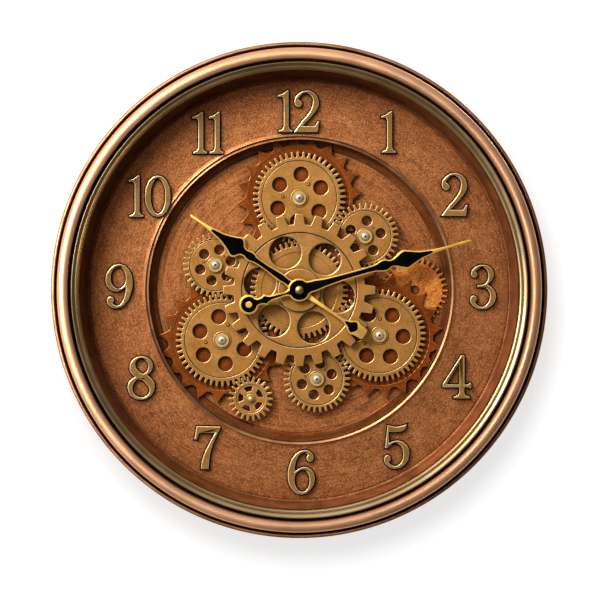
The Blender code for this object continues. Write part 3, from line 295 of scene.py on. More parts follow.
# Copper painted darker as shade, for the dial's sloping outer wall and the wall round its hole.
SLOPE_SHADE_COPPER = finish(
    "dial_slope_copper", (0.2, 0.07, 0.023), (0.28, 0.1, 0.034), 0.44, patch=60.0, grain=1000.0, bump=0.3,
    speck=0.5, brushed=(500.0, 16.0), corners=0.9, reach=0.01)
FLOOR_COPPER = finish(
    "floor_copper", (0.47, 0.158, 0.043), (0.58, 0.205, 0.058), 0.44, patch=30.0, grain=1100.0, bump=0.6,
    speck=0.75, depth=0.0002, brushed=(480.0, 5.0), fleck=(0.66, 0.3, 0.13), corners=0.75, reach=0.009)
# Copper painted darker as shade, for the band under the dial's lip and the groove between the torus and the
# outer lip.
BAND_SHADE_COPPER = finish(
    "floor_band_copper", (0.2, 0.06, 0.014), (0.3, 0.094, 0.023), 0.46, patch=45.0, grain=900.0, bump=0.4,
    speck=0.6, brushed=(480.0, 5.0), corners=0.7, reach=0.009)
LIP_COPPER = finish(
    "dial_lip_copper", (0.36, 0.15, 0.06), (0.5, 0.245, 0.115), 0.44, metallic=1.0, patch=40.0, bump=0.08,
    speck=0.15)
BEZEL_GOLD = finish(
    "bezel_gold", (0.52, 0.36, 0.17), (0.66, 0.48, 0.26), 0.3, metallic=1.0, patch=24.0, bump=0.0,
    corners=0.0)
GEAR_GOLD = finish(
    "gear_gold", (0.49, 0.212, 0.045), (0.59, 0.268, 0.064), 0.42, patch=40.0, grain=1000.0, bump=0.2,
    speck=0.35, fleck=(0.62, 0.33, 0.1), corners=0.9, reach=0.007)
# The edge finishes are lighter than the faces they border: partly wear, partly a painted highlight on the
# bevels.
GEAR_EDGE = finish(
    "gear_worn_edge", (0.64, 0.38, 0.13), (0.82, 0.56, 0.25), 0.42, metallic=0.7, patch=80.0, bump=0.15,
    speck=0.15, corners=0.6)
STAR_COPPER = finish(
    "star_copper", (0.23, 0.046, 0.004), (0.34, 0.08, 0.009), 0.44, patch=55.0, grain=900.0, bump=0.3,
    speck=0.5, fleck=(0.46, 0.14, 0.025), reach=0.006)
STAR_EDGE = finish(
    "star_worn_edge", (0.36, 0.105, 0.02), (0.56, 0.22, 0.07), 0.46, patch=80.0, bump=0.2, speck=0.2,
    corners=0.6)
RAW_COPPER = finish(
    "raw_copper", (0.66, 0.165, 0.02), (0.95, 0.37, 0.075), 0.48, patch=160.0, grain=600.0, bump=0.8,
    speck=0.6, depth=0.0004, fleck=(0.85, 0.38, 0.1), flecks=0.6)
NUMERAL_FACE = finish(
    "numeral_bronze_face", (0.33, 0.16, 0.038), (0.43, 0.215, 0.055), 0.38, patch=70.0, grain=1000.0,
    bump=0.2, speck=0.35, fleck=(0.52, 0.3, 0.1), corners=0.5)
NUMERAL_EDGE = finish(
    "numeral_worn_edge", (0.7, 0.48, 0.22), (0.9, 0.68, 0.38), 0.34, metallic=0.7, bump=0.1, corners=0.0)
# Near-black painted shade, laid in grooves, round the feet of digits and rivets, and as dark reflections in
# domes.
PAINTED_SHADE_BLACK = finish(
    "patina_in_corners", (0.012, 0.005, 0.002), (0.03, 0.012, 0.004), 0.6, metallic=0.0, bump=0.4, speck=0.3,
    corners=0.0)
HAND_GOLD = finish(
    "hand_bright_gold", (0.8, 0.43, 0.07), (0.93, 0.56, 0.13), 0.34, metallic=0.5, bump=0.08, corners=0.0)
CAP_GOLD = finish(
    "hand_cap_gold", (0.66, 0.42, 0.17), (0.8, 0.55, 0.27), 0.3, metallic=1.0, patch=120.0, speck=0.15,
    corners=0.0)
HAND_BLACK = finish(
    "hand_black_enamel", (0.0015, 0.0015, 0.0015), (0.003, 0.003, 0.002), 0.6, metallic=0.0, patch=60.0,
    corners=0.0, gloss=0.0)
SCREW_STEEL = finish(
    "screw_steel", (0.74, 0.62, 0.42), (0.88, 0.77, 0.57), 0.3, metallic=0.7, patch=140.0, bump=0.1,
    speck=0.15)
TURNED_BRASS = finish(
    "turned_brass", (0.74, 0.44, 0.13), (0.92, 0.62, 0.23), 0.34, metallic=0.5, patch=120.0, bump=0.1,
    speck=0.2)
CELL_END = finish("cell_bare_end", (0.55, 0.54, 0.5), (0.7, 0.68, 0.64), 0.25, metallic=1.0)
CASE_BLACK = finish(
    "case_black", (0.012, 0.012, 0.012), (0.022, 0.022, 0.022), 0.5, metallic=0.0, patch=40.0, grain=1800.0,
    bump=0.6, depth=0.00015)
COVER_BLACK = finish(
    "cover_black", (0.02, 0.02, 0.02), (0.034, 0.034, 0.033), 0.55, metallic=0.0, patch=14.0, grain=1500.0,
    bump=0.8, depth=0.0002)
CELL_SLEEVE = finish(
    "cell_sleeve", (0.03, 0.06, 0.11), (0.045, 0.09, 0.15), 0.32, metallic=0.2, patch=60.0, coat=0.4)


# Ways of making a piece

EDGE_SLOPE = 0.45
MERGED = 0.00001
ROUND_STEPS, RING_STEPS = 48, 192


def show(name, data):
    """A new object in the scene."""
    made = bpy.data.objects.new(name, data)
    bpy.context.scene.collection.objects.link(made)
    return made


def upright_mesh(form, name, centre=CENTRE):
    """The mesh of a form, stood upright in its place."""
    mesh = bpy.data.meshes.new(name)
    form.to_mesh(mesh)
    form.free()
    mesh.transform(UPRIGHT @ Matrix.Translation((*centre, 0.0)))
    return mesh


def carrier(name):
    """The body that a solid rides on."""
    return NODES[name]["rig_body"]


def stand(form, name, body, finishes, centre=CENTRE, replaced=(), sharp=24.0):
    """Close a form, stand it upright in its place and let it ride on its body."""
    bmesh.ops.recalc_face_normals(form, faces=form.faces)
    mesh = upright_mesh(form, name, centre)
    for material in finishes:
        mesh.materials.append(material)
    mesh.polygons.foreach_set("use_smooth", [True] * len(mesh.polygons))
    mesh.set_sharp_from_angle(angle=math.radians(sharp))
    piece = show(name, mesh)
    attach(piece, body)
    if replaced:
        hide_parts(*replaced)


def finished(form, name, finishes, centre=CENTRE, ending="_finished", sharp=24.0):
    """Stand a form in the place of the one solid that it is made after."""
    stand(form, name + ending, carrier(name), finishes, centre, [name], sharp)


def lift(form, corners, height):
    bmesh.ops.translate(form, verts=corners, vec=(0.0, 0.0, height))


def corners_of(faces):
    return list({corner for face in faces for corner in face.verts})


def refinish(form, index, chosen):
    """Give another finish to the faces chosen by the radius and depth of their middles."""
    for face in form.faces:
        middle = face.calc_center_median()
        if chosen(middle.xy.length, middle.z):
            face.material_index = index


def spin_profile(form, profile, steps=RING_STEPS, closed=True):
    """Spin a profile of (radius, depth) points about the axis."""
    corners = [form.verts.new((radius, 0.0, depth)) for radius, depth in profile]
    ends = corners[1:] + corners[:1] if closed else corners[1:]
    edges = [form.edges.new(pair) for pair in zip(corners, ends)]
    bmesh.ops.spin(
        form, geom=corners + edges, cent=(0.0, 0.0, 0.0), axis=(0.0, 0.0, 1.0),
        dvec=(0.0, 0.0, 0.0), angle=math.tau, steps=steps, use_merge=True, use_duplicate=False,
    )
    poles = [corner for corner in form.verts if corner.co.xy.length < 0.1 * MERGED]
    bmesh.ops.remove_doubles(form, verts=poles, dist=0.05 * MERGED)


def turned(name, solid, profile, material, centre=CENTRE, steps=ROUND_STEPS, closed=False, sharp=24.0,
           core=None, replaces=True):
    """A turned piece, its middle in another finish out to a radius when a core is given."""
    form = bmesh.new()
    spin_profile(form, profile, steps, closed)
    finishes = [material]
    if core:
        finishes.append(core[1])
        refinish(form, 1, lambda radius, depth: radius < core[0])
    stand(form, name, carrier(solid), finishes, centre, [solid] if replaces else [], sharp)


def arc(radius, depth, wide, high, first, last, steps):
    """Points round an ellipse from one angle to another, in degrees. Zero is straight out."""
    points = []
    for step in range(steps + 1):
        angle = math.radians(first + (last - first) * step / steps)
        points.append((radius + wide * math.cos(angle), depth + high * math.sin(angle)))
    return points


def round_hole(form, radius, centre=CENTRE, steps=ROUND_STEPS):
    made = bmesh.ops.create_circle(form, segments=steps, radius=radius)["verts"]
    bmesh.ops.translate(form, verts=made, vec=(*centre, 0.0))
    return made


def rounds(form, *sizes):
    """Round outlines about the axis, each from its radius and its number of corners."""
    return [round_hole(form, radius, steps=steps) for radius, steps in sizes]


def hole_circle(form, count, circle_radius, hole_radius, first, steps=40):
    """Round holes evenly round a circle, the first at an angle in degrees."""
    angles = [math.radians(first) + math.tau * index / count for index in range(count)]
    return [round_hole(form, hole_radius, around(circle_radius, angle), steps) for angle in angles]


def drawn_edge(form, points):
    """An outline through given points, from a circle with as many corners."""
    made = bmesh.ops.create_circle(form, segments=len(points), radius=1.0)["verts"]
    for corner, point in zip(made, points):
        corner.co = (*point, 0.0)
    return made


def toothed_edge(form, teeth, root, tip, shape, phase):
    """The rim of a gear. The shape is (share of height, half width) pairs from tip to root."""
    outline = []
    flanks = [(share, -half) for share, half in reversed(shape)] + list(shape)
    for tooth in range(teeth):
        middle = phase + math.tau * tooth / teeth
        for share, half in flanks:
            radius = root + (tip - root) * share
            outline.append(around(radius, middle + half / radius))
    return drawn_edge(form, outline)


def raise_sheet(form, faces, height):
    """Raise a sheet of faces to a body of a given height. Gives the faces of its top."""
    raised = bmesh.ops.extrude_face_region(form, geom=faces)["geom"]
    lift(form, [item for item in raised if isinstance(item, bmesh.types.BMVert)], height)
    return [item for item in raised if isinstance(item, bmesh.types.BMFace)]


def wear(form, faces, width, rise):
    """Leave a bevel of a given width round some faces and lift them by its rise. Gives the bevel's faces."""
    worn = bmesh.ops.inset_region(
        form, faces=faces, thickness=width, use_even_offset=True, use_boundary=True)["faces"]
    lift(form, corners_of(faces), rise)
    return worn


def plate(form, outlines, back, front, edge, finish_index=0):
    """Fill outlines, those inside being holes, and raise them to a plate whose front edges are worn."""
    known = set(form.faces)
    drop = math.copysign(edge * EDGE_SLOPE, front - back)
    edges = list({side for outline in outlines for corner in outline for side in corner.link_edges})
    filled = bmesh.ops.triangle_fill(
        form, use_beauty=True, use_dissolve=False, edges=edges, normal=(0.0, 0.0, 1.0))
    sheet = [item for item in filled["geom"] if isinstance(item, bmesh.types.BMFace)]
    lift(form, corners_of(sheet), back)
    top = raise_sheet(form, sheet, front - back - drop)
    worn = wear(form, top, edge, drop) if edge > 0.0 else []
    for face in form.faces:
        if face not in known:
            face.material_index = finish_index
    for face in worn:
        face.material_index = 1


# Frame, bezel, dial and floor


def frame_ring():
    profile = [
        (FRAME_RADIUS, 0.0), (FRAME_RADIUS, 0.0485), *arc(0.1984, 0.049, 0.0016, 0.0013, 0.0, 180.0, 12),
        (0.1966, 0.0476), (0.1958, 0.0464), (0.1951, 0.0474),
        *arc(0.1904, 0.0569, 0.0046, 0.00309, 0.0, 88.0, 20),
        *arc(0.1904, 0.0569, 0.0039, 0.00309, 90.0, 180.0, 18), (MOUTH_RADIUS, 0.05),
        (MOUTH_RADIUS, LEDGE_FRONT), (LEDGE_RADIUS, LEDGE_FRONT), (LEDGE_RADIUS, LEDGE_BACK),
        (0.19, LEDGE_BACK), (0.19, 0.046), (FRAME_INSIDE, 0.046), (FRAME_INSIDE, 0.0),
    ]
    form = bmesh.new()
    spin_profile(form, profile)
    # The groove between the torus and the outer lip is painted darker as shade.
    refinish(form, 1, lambda radius, depth: 0.195 < radius < 0.1967 and depth > 0.0462)
    refinish(form, 2, lambda radius, depth: radius > 0.1967 and depth > 0.0486)
    stand(
        form, "frame_moulding", "clock", [FRAME_COPPER, BAND_SHADE_COPPER, LIP_COPPER], replaced=["frame_ring"])


def bezel_ring():
    profile = [
        (FOOT_RADIUS, BEZEL_BACK), (FOOT_RADIUS, FOOT_FRONT), (BEZEL_RADIUS, FOOT_FRONT),
        *arc(0.1832, 0.0546, 0.0008, 0.001, 0.0, 105.0, 8), (0.1824, 0.0553), (0.1815, 0.0548),
        (0.1807, 0.0542), (0.1803, 0.0536), (0.1799, 0.053), (0.1795, 0.0529), (0.1791, 0.0537),
        (0.1788, 0.0539), (0.1783, 0.0537), (0.1777, 0.0533), (0.1773, 0.0526), (BEZEL_MOUTH, 0.0516),
        (BEZEL_MOUTH, BEZEL_BACK),
    ]
    form = bmesh.new()
    spin_profile(form, profile)
    # The bezel's foot, down in the groove by the torus, is near black: painted shade.
    refinish(form, 1, lambda radius, depth: depth < 0.0542 and radius > 0.183)
    stand(
        form, "bezel_beads", "clock", [BEZEL_GOLD, PAINTED_SHADE_BLACK], replaced=["bezel_ring"],
        sharp=38.0)


def dial_ring():
    profile = [
        (DIAL_WALL_RADIUS, DIAL_WALL_FRONT), (DIAL_WALL_RADIUS, DIAL_FLANGE), (FOOT_RADIUS, DIAL_FLANGE),
        (FOOT_RADIUS, DIAL_FLANGE - 0.002), (0.1749, DIAL_FLANGE - 0.002), (0.1713, DIAL_FACE_BACK),
        (DIAL_LIP_RADIUS, DIAL_FACE_BACK), (DIAL_LIP_RADIUS, DIAL_LIP_BACK), (DIAL_HOLE, DIAL_LIP_BACK),
        (DIAL_HOLE, 0.0366), (0.1219, 0.0369), (0.1227, 0.0363), (0.1232, 0.0362), (0.1236, 0.0364),
        (0.1244, 0.037), (0.1247, 0.0371), (0.1251, 0.0369), (0.1268, 0.0361), (0.1274, DIAL_FACE),
        (0.167, DIAL_FACE), (0.1688, DIAL_FACE), (0.1692, 0.0357), (0.1697, 0.0357), (0.1701, 0.0363),
        (0.1706, 0.0365), (0.171, 0.0363), (0.1714, 0.0365), (0.1724, 0.0382), (0.1762, 0.0498),
        (0.1764, DIAL_WALL_FRONT),
    ]
    form = bmesh.new()
    spin_profile(form, profile)
    # The sloping outer wall and the wall round the hole are painted darker as shade.
    refinish(form, 2, lambda radius, depth: radius > 0.171 or radius < 0.12185)
    refinish(form, 1, lambda radius, depth: radius < 0.1249 and depth > 0.0361)
    stand(
        form, "dial_pressing", "clock", [DIAL_COPPER, LIP_COPPER, SLOPE_SHADE_COPPER], replaced=["dial_ring"])


def gear_plate():
    """The floor disc with its holes, and round it the turned edge with a low band."""
    form = bmesh.new()
    shaft = round_hole(form, 0.00325, RIGHT[0], 32)
    plate(
        form, [*rounds(form, (0.111, RING_STEPS), (CENTRE_BORE, ROUND_STEPS)), shaft], PLATE_BACK,
        PLATE_FRONT, 0.0)
    profile = [
        (PLATE_RADIUS, BAND_FRONT), (PLATE_RADIUS, PLATE_EDGE_BACK), (PLATE_RADIUS - 0.002, PLATE_EDGE_BACK),
        (PLATE_RADIUS - 0.002, PLATE_BACK), (0.1109, PLATE_BACK), (0.1109, PLATE_FRONT), (0.113, PLATE_FRONT),
        (BAND_RADIUS, PLATE_FRONT), *arc(0.1176, 0.0208, 0.002, 0.0007, 170.0, 95.0, 5), (0.119, 0.0215),
        (0.1217, BAND_FRONT),
    ]
    spin_profile(form, profile)
    # The band under the dial's lip is painted darker as shade.
    refinish(form, 1, lambda radius, depth: radius > BAND_RADIUS and depth > PLATE_BACK)
    stand(
        form, "floor_disc", "clock", [FLOOR_COPPER, BAND_SHADE_COPPER], replaced=["gear_plate"])


# Gears

FINE_TOOTH = [
    (1.0, 0.00062), (0.95, 0.00076), (0.55, 0.00094), (0.16, 0.00112), (0.04, 0.0013), (0.0, 0.00165),
]
TINY_TOOTH = [(1.0, 0.0006), (0.95, 0.00072), (0.55, 0.0009), (0.16, 0.00106), (0.04, 0.0012), (0.0, 0.00145)]
BLOCK_TOOTH = [(1.0, 0.0029), (0.97, 0.0032), (0.5, 0.0037), (0.06, 0.0043), (0.0, 0.0047)]
STAR_TOOTH = [(1.0, 0.00012), (0.96, 0.00022), (0.7, 0.00125), (0.35, 0.0029), (0.08, 0.0044), (0.0, 0.005)]
# The third gear finish is near-black painted shade, for grooves and rivet feet.
GEAR_FINISHES = [GEAR_GOLD, GEAR_EDGE, PAINTED_SHADE_BLACK]
GEAR_STEPS = 96
LARGE_STEPS = 128
BORE_STEPS = 32
HUB_STEPS = 64

# How far a web lies behind its rim, at its front and its back, and a hub's foot behind the rim's front
WEB_SUNK, WEB_RAISED, HUB_SUNK = 0.0007, 0.0003, 0.0012


def gear_blank(form, plan, tooth, web_radius):
    """The toothed rim of a fine gear."""
    teeth, phase = plan[1], plan[2]
    pitch = teeth * MODULE / 2
    rim = toothed_edge(form, teeth, pitch - TOOTH_DROP, pitch + TOOTH_RISE, tooth, phase)
    plate(form, [rim, round_hole(form, web_radius, steps=GEAR_STEPS)], FINE_BACK, FINE_FRONT, 0.0003)


def web(form, outlines, edge):
    """The web of a fine gear, a little behind its rim."""
    plate(form, outlines, FINE_BACK + WEB_RAISED, FINE_FRONT - WEB_SUNK, edge)


def groove(form, radius, width, back, front):
    """A near-black strip of painted shade in the groove between a gear's rim and its web."""
    outlines = rounds(form, (radius + 0.0004, GEAR_STEPS), (radius - width - 0.0004, GEAR_STEPS))
    plate(form, outlines, back, front, 0.0, 2)


def hub(form, radius, bore, back, front):
    plate(form, rounds(form, (radius, HUB_STEPS), (bore, BORE_STEPS)), back, front, 0.0003)


def rivet(form, place, radius):
    """A small domed rivet on a gear's web, its foot sunk in the metal and ringed with near-black painted
    shade.
    """
    plate(
        form, [round_hole(form, 1.45 * radius, place, 16)], FINE_FRONT - 0.0008, FINE_FRONT - 0.00064, 0.0, 2)
    known = set(form.verts)
    dome = 0.6 * radius
    profile = [(0.0, -0.0002), (radius, -0.0002), *arc(0.0, 0.0, radius, dome, 0.0, 70.0, 4), (0.0, dome)]
    spin_profile(form, profile, 16, False)
    made = [corner for corner in form.verts if corner not in known]
    bmesh.ops.translate(form, verts=made, vec=(*place, FINE_FRONT - WEB_SUNK))


def fine_gear(name, plan, holes, web_radius, hub_radius):
    """A fine-toothed gear: a proud rim and hub, a web with windows between them, and two rivets."""
    form = bmesh.new()
    gear_blank(form, plan, FINE_TOOTH, web_radius)
    windows = hole_circle(form, *holes)
    groove(form, web_radius, 0.0005, FINE_BACK + 0.0004, FINE_FRONT - 0.0014)
    web(form, [*rounds(form, (web_radius - 0.0005, GEAR_STEPS), (POST_BORE, BORE_STEPS)), *windows], 0.0004)
    hub(form, hub_radius, POST_BORE + 0.0001, FINE_FRONT - HUB_SUNK, FINE_HUB_FRONT)
    count, window_circle, window_radius, first = holes
    for angle in (first, first + 120.0):
        place = around((hub_radius + window_circle) / 2, math.radians(angle + 180.0 / count))
        rivet(form, place, window_radius / 6)
    finished(form, name, GEAR_FINISHES, plan[0])


def sector_window(form, inner, outer, middle, half):
    """A window between two spokes, with an inner and an outer arc. Angles are in degrees."""
    far_arc = arc(0.0, 0.0, outer, outer, middle - half, middle + half, 10)
    near_arc = arc(0.0, 0.0, inner, inner, middle + 0.72 * half, middle - 0.72 * half, 10)
    return drawn_edge(form, far_arc + near_arc)


def tiny_gear():
    """The smallest gear, with windows between five spokes."""
    form = bmesh.new()
    gear_blank(form, TINY, TINY_TOOTH, 0.0118)
    middles = [30.0 + 72.0 * index for index in range(5)]
    windows = [sector_window(form, 0.006, 0.0102, middle, 22.32) for middle in middles]
    web(form, [*rounds(form, (0.0121, HUB_STEPS), (0.00135, 24)), *windows], 0.0003)
    hub(form, 0.004, 0.00145, FINE_FRONT - HUB_SUNK, FINE_HUB_FRONT)
    finished(form, "tiny_gear", GEAR_FINISHES[:2], TINY[0])


def drive_gear():
    """The drive gear behind the block gear."""
    form = bmesh.new()
    gear_blank(form, DRIVE, FINE_TOOTH, 0.0309)
    web(form, rounds(form, (0.0312, GEAR_STEPS), (CENTRE_BORE, ROUND_STEPS)), 0.0004)
    hub(form, 0.0095, CENTRE_BORE + 0.0001, FINE_FRONT - HUB_SUNK, DRIVE_HUB_FRONT)
    finished(form, "centre_drive_gear", GEAR_FINISHES[:2])


def block_gear():
    """The block-toothed centre gear and the disc on its hub."""
    form = bmesh.new()
    rim = toothed_edge(form, 24, 0.05316, 0.06156, BLOCK_TOOTH, 0.0)
    plate(form, [rim, round_hole(form, BLOCK_WEB_RADIUS, steps=LARGE_STEPS)], BLOCK_BACK, BLOCK_FRONT, 0.0004)
    windows = hole_circle(form, 6, 0.0323, 0.0131, 50.5, 64)
    groove(form, BLOCK_WEB_RADIUS, 0.0007, BLOCK_BACK + 0.0004, BLOCK_FRONT - 0.0024)
    outlines = [*rounds(form, (0.0463, LARGE_STEPS), (CENTRE_BORE, ROUND_STEPS)), *windows]
    plate(form, outlines, BLOCK_BACK + WEB_RAISED, BLOCK_FRONT - 0.0014, 0.0007)
    hub(form, 0.014, CENTRE_BORE + 0.0001, BLOCK_FRONT - 0.002, BLOCK_FRONT)
    finished(form, "centre_gear", GEAR_FINISHES)
    form = bmesh.new()
    plate(form, rounds(form, (0.0172, GEAR_STEPS), (CENTRE_BORE, ROUND_STEPS)), HUB_BACK, HUB_FRONT, 0.0005)
    finished(form, "centre_hub_disc", GEAR_FINISHES[:2])


def star_gear(name, plan, phase):
    """A copper gear with pointed teeth, its face turned back inside a groove."""
    form = bmesh.new()
    rim = toothed_edge(form, 20, 0.0435, 0.0515, STAR_TOOTH, math.radians(phase))
    plate(form, [rim, round_hole(form, 0.0407, steps=LARGE_STEPS)], STAR_BACK, STAR_FRONT, 0.0004)
    outlines = rounds(form, (0.041, LARGE_STEPS), (POST_BORE, BORE_STEPS))
    plate(form, outlines, STAR_BACK + 0.0002, STAR_FRONT - 0.0006, 0.0002)
    hub(form, 0.008, POST_BORE + 0.0001, STAR_FRONT - 0.001, STAR_HUB_FRONT)
    finished(form, name, [STAR_COPPER, STAR_EDGE], plan[0])


def rear_gear():
    """The fixed copper gear just over the floor."""
    form = bmesh.new()
    pitch = REAR[1] * MODULE / 2
    rim = toothed_edge(form, REAR[1], pitch - TOOTH_DROP, pitch + TOOTH_RISE, FINE_TOOTH, 0.0)
    plate(form, [rim, round_hole(form, 0.004, steps=BORE_STEPS)], 0.0219, 0.0231, 0.0003)
    plate(form, rounds(form, (0.007, ROUND_STEPS), (0.0041, BORE_STEPS)), 0.022, FLOOR_SEAT, 0.0)
    finished(form, "rear_copper_gear", [RAW_COPPER, STAR_EDGE], REAR[0])


def train():
    large = (("top", TOP, 25.5, 5.0), ("lower_left", LOWER_LEFT, 38.0, 13.4), ("right", RIGHT, 57.5, 6.3))
    for name, plan, hole_phase, star_phase in large:
        fine_gear(name + "_gear", plan, (6, 0.0193, 0.0062, hole_phase), 0.0307, 0.0072)
        star_gear(name + "_star_gear", plan, star_phase)
    small = (("upper_right", UPPER_RIGHT, 5, 12.0), ("left", LEFT, 6, 16.0), ("bottom", BOTTOM, 6, 18.5))
    for name, plan, count, hole_phase in small:
        fine_gear(name + "_gear", plan, (count, 0.0128, 0.0042, hole_phase), 0.0213, 0.0068)
    tiny_gear()
    drive_gear()
    block_gear()
    rear_gear()


# Posts, screws and what stands on the axis


def fasteners():
    """Each post with its brass washer and domed steel head."""
    stands = (
        ("top_gear", TOP, 0.0232), ("lower_left_gear", LOWER_LEFT, 0.0232), ("right_gear", RIGHT, None),
        ("upper_right_gear", UPPER_RIGHT, 0.0267), ("left_gear", LEFT, 0.0267),
        ("bottom_gear", BOTTOM, 0.0267),
    )
    washer = [
        (0.0, WASHER_BACK), (0.0057, WASHER_BACK), (0.0057, WASHER_FRONT - 0.0003), (0.0054, WASHER_FRONT),
        (0.0039, WASHER_FRONT), (0.0, WASHER_FRONT - 0.0002),
    ]
    head = [
        (0.0, WASHER_FRONT - 0.0001), (0.0036, WASHER_FRONT - 0.0001),
        *arc(0.0, 0.0322, 0.0036, 0.002, 5.0, 72.0, 8), (0.001, 0.0341), (0.0009, 0.0339), (0.0, 0.0338),
    ]
    for name, plan, shoulder in stands:
        screw = name + "_screw"
        turned(name + "_washer", screw, washer, TURNED_BRASS, plan[0], replaces=False)
        # Each domed head's middle is near black: a painted dark reflection.
        turned(
            name + "_domed_head", screw, head, SCREW_STEEL, plan[0], sharp=50.0,
            core=(CORE_RADIUS, PAINTED_SHADE_BLACK))
        if not shoulder:
            continue
        post = [
            (0.0, POST_TOP), (0.0023, POST_TOP), (0.0026, POST_TOP - 0.0003), (0.0026, shoulder),
            (0.0049, shoulder), (0.0052, shoulder - 0.0003), (0.0052, FLOOR_SEAT), (0.0, FLOOR_SEAT),
        ]
        turned(name + "_turned_post", name + "_post", post, TURNED_BRASS, plan[0], BORE_STEPS)
    pin = [
        (0.0, 0.0336), *reversed(arc(0.0, 0.0312, 0.0026, 0.0024, 0.0, 80.0, 8)), (0.0026, WASHER_BACK),
        (0.001, WASHER_BACK), (0.001, FLOOR_SEAT), (0.0, FLOOR_SEAT),
    ]
    turned("tiny_gear_domed_pin", "tiny_gear_pin", pin, TURNED_BRASS, TINY[0], 40)


def arbors():
    """The pipes, shafts and cap on the axes, turned smooth."""
    rows = (
        ("movement_bushing", CENTRE, 0.00405, 0.003, 0.0403, TURNED_BRASS, "brass"),
        ("hour_pipe", CENTRE, 0.0026, 0.00175, 0.0435, TURNED_BRASS, "brass"),
        ("minute_arbor", CENTRE, 0.0014, 0.0, 0.0462, SCREW_STEEL, "steel"),
        ("motor_shaft", RIGHT[0], 0.0026, 0.0, POST_TOP, SCREW_STEEL, "steel"),
    )
    for name, centre, radius, bore, front, material, slot in rows:
        profile = [
            (bore, PLATE_BACK), (radius, PLATE_BACK), (radius, front - 0.0002), (radius - 0.0002, front),
            (bore, front),
        ]
        turned(name + "_turned", name, profile, material, centre, BORE_STEPS, bore > 0.0)
    cap = [
        (0.0, CAP_BACK), (0.0034, CAP_BACK), (0.0036, CAP_BACK + 0.0003),
        *arc(0.0, CAP_BACK + 0.0006, 0.0036, 0.002, 0.0, 75.0, 8), (0.0, CAP_FRONT),
    ]
    # The cap's middle is a darker brown: a painted dark reflection in its dome.
    turned(
        "hand_cap_turned", "hand_cap", cap, CAP_GOLD, sharp=50.0, core=(CORE_RADIUS, STAR_EDGE))


# Hands

HOUR_DIRECTION, MINUTE_DIRECTION = 145.5, 16.1
HAND_ROUNDING = 0.0003
WEIGHT_PLACE = -0.0424


def boss(middle, radius, first, last, steps):
    """Stations (along, half width) of a round boss, by angle in degrees off the hand's direction."""
    return arc(middle, 0.0, radius, radius, first, last, steps)


def eye(middle, radius):
    """A round hole on a hand's line."""
    return arc(middle, 0.0, radius, radius, 0.0, 337.5, 15)


def flat_piece(name, body, outlines, back, front, rounding, material, direction, replaced=()):
    """Smooth outlines, those inside being holes, made a plate with rounded edges and turned by degrees."""
    curve = bpy.data.curves.new(name, "CURVE")
    curve.dimensions = "2D"
    curve.fill_mode = "BOTH"
    curve.resolution_u = 8
    curve.bevel_depth = rounding
    curve.bevel_resolution = 1
    curve.offset = -rounding
    curve.extrude = (front - back) / 2 - rounding
    for points in outlines:
        spline = curve.splines.new("BEZIER")
        spline.bezier_points.add(len(points) - 1)
        spline.use_cyclic_u = True
        for knot, (along, across) in zip(spline.bezier_points, points):
            knot.co = (along, across, 0.0)
            knot.handle_left_type = knot.handle_right_type = "AUTO"
    drawing = show(name + "_drawing", curve)
    shape = drawing.evaluated_get(bpy.context.evaluated_depsgraph_get()).to_mesh()
    form = bmesh.new()
    form.from_mesh(shape)
    bpy.data.objects.remove(drawing)
    bpy.data.curves.remove(curve)
    bmesh.ops.remove_doubles(form, verts=form.verts, dist=MERGED)
    lift(form, form.verts, (front + back) / 2)
    turn = Matrix.Rotation(math.radians(direction), 3, "Z")
    bmesh.ops.rotate(form, verts=form.verts, cent=(0.0, 0.0, 0.0), matrix=turn)
    stand(form, name, body, [material], CENTRE, replaced, 40.0)


def both_sides(stations):
    return stations + [(along, -half) for along, half in reversed(stations)]


def inlay(name, body, stations, holes, front, direction):
    """Black enamel laid in a hand, proud of it by a hair."""
    flat_piece(
        name, body, [both_sides(stations), *holes], front - 0.0003, front + 0.00012, 0.00005, HAND_BLACK,
        direction)


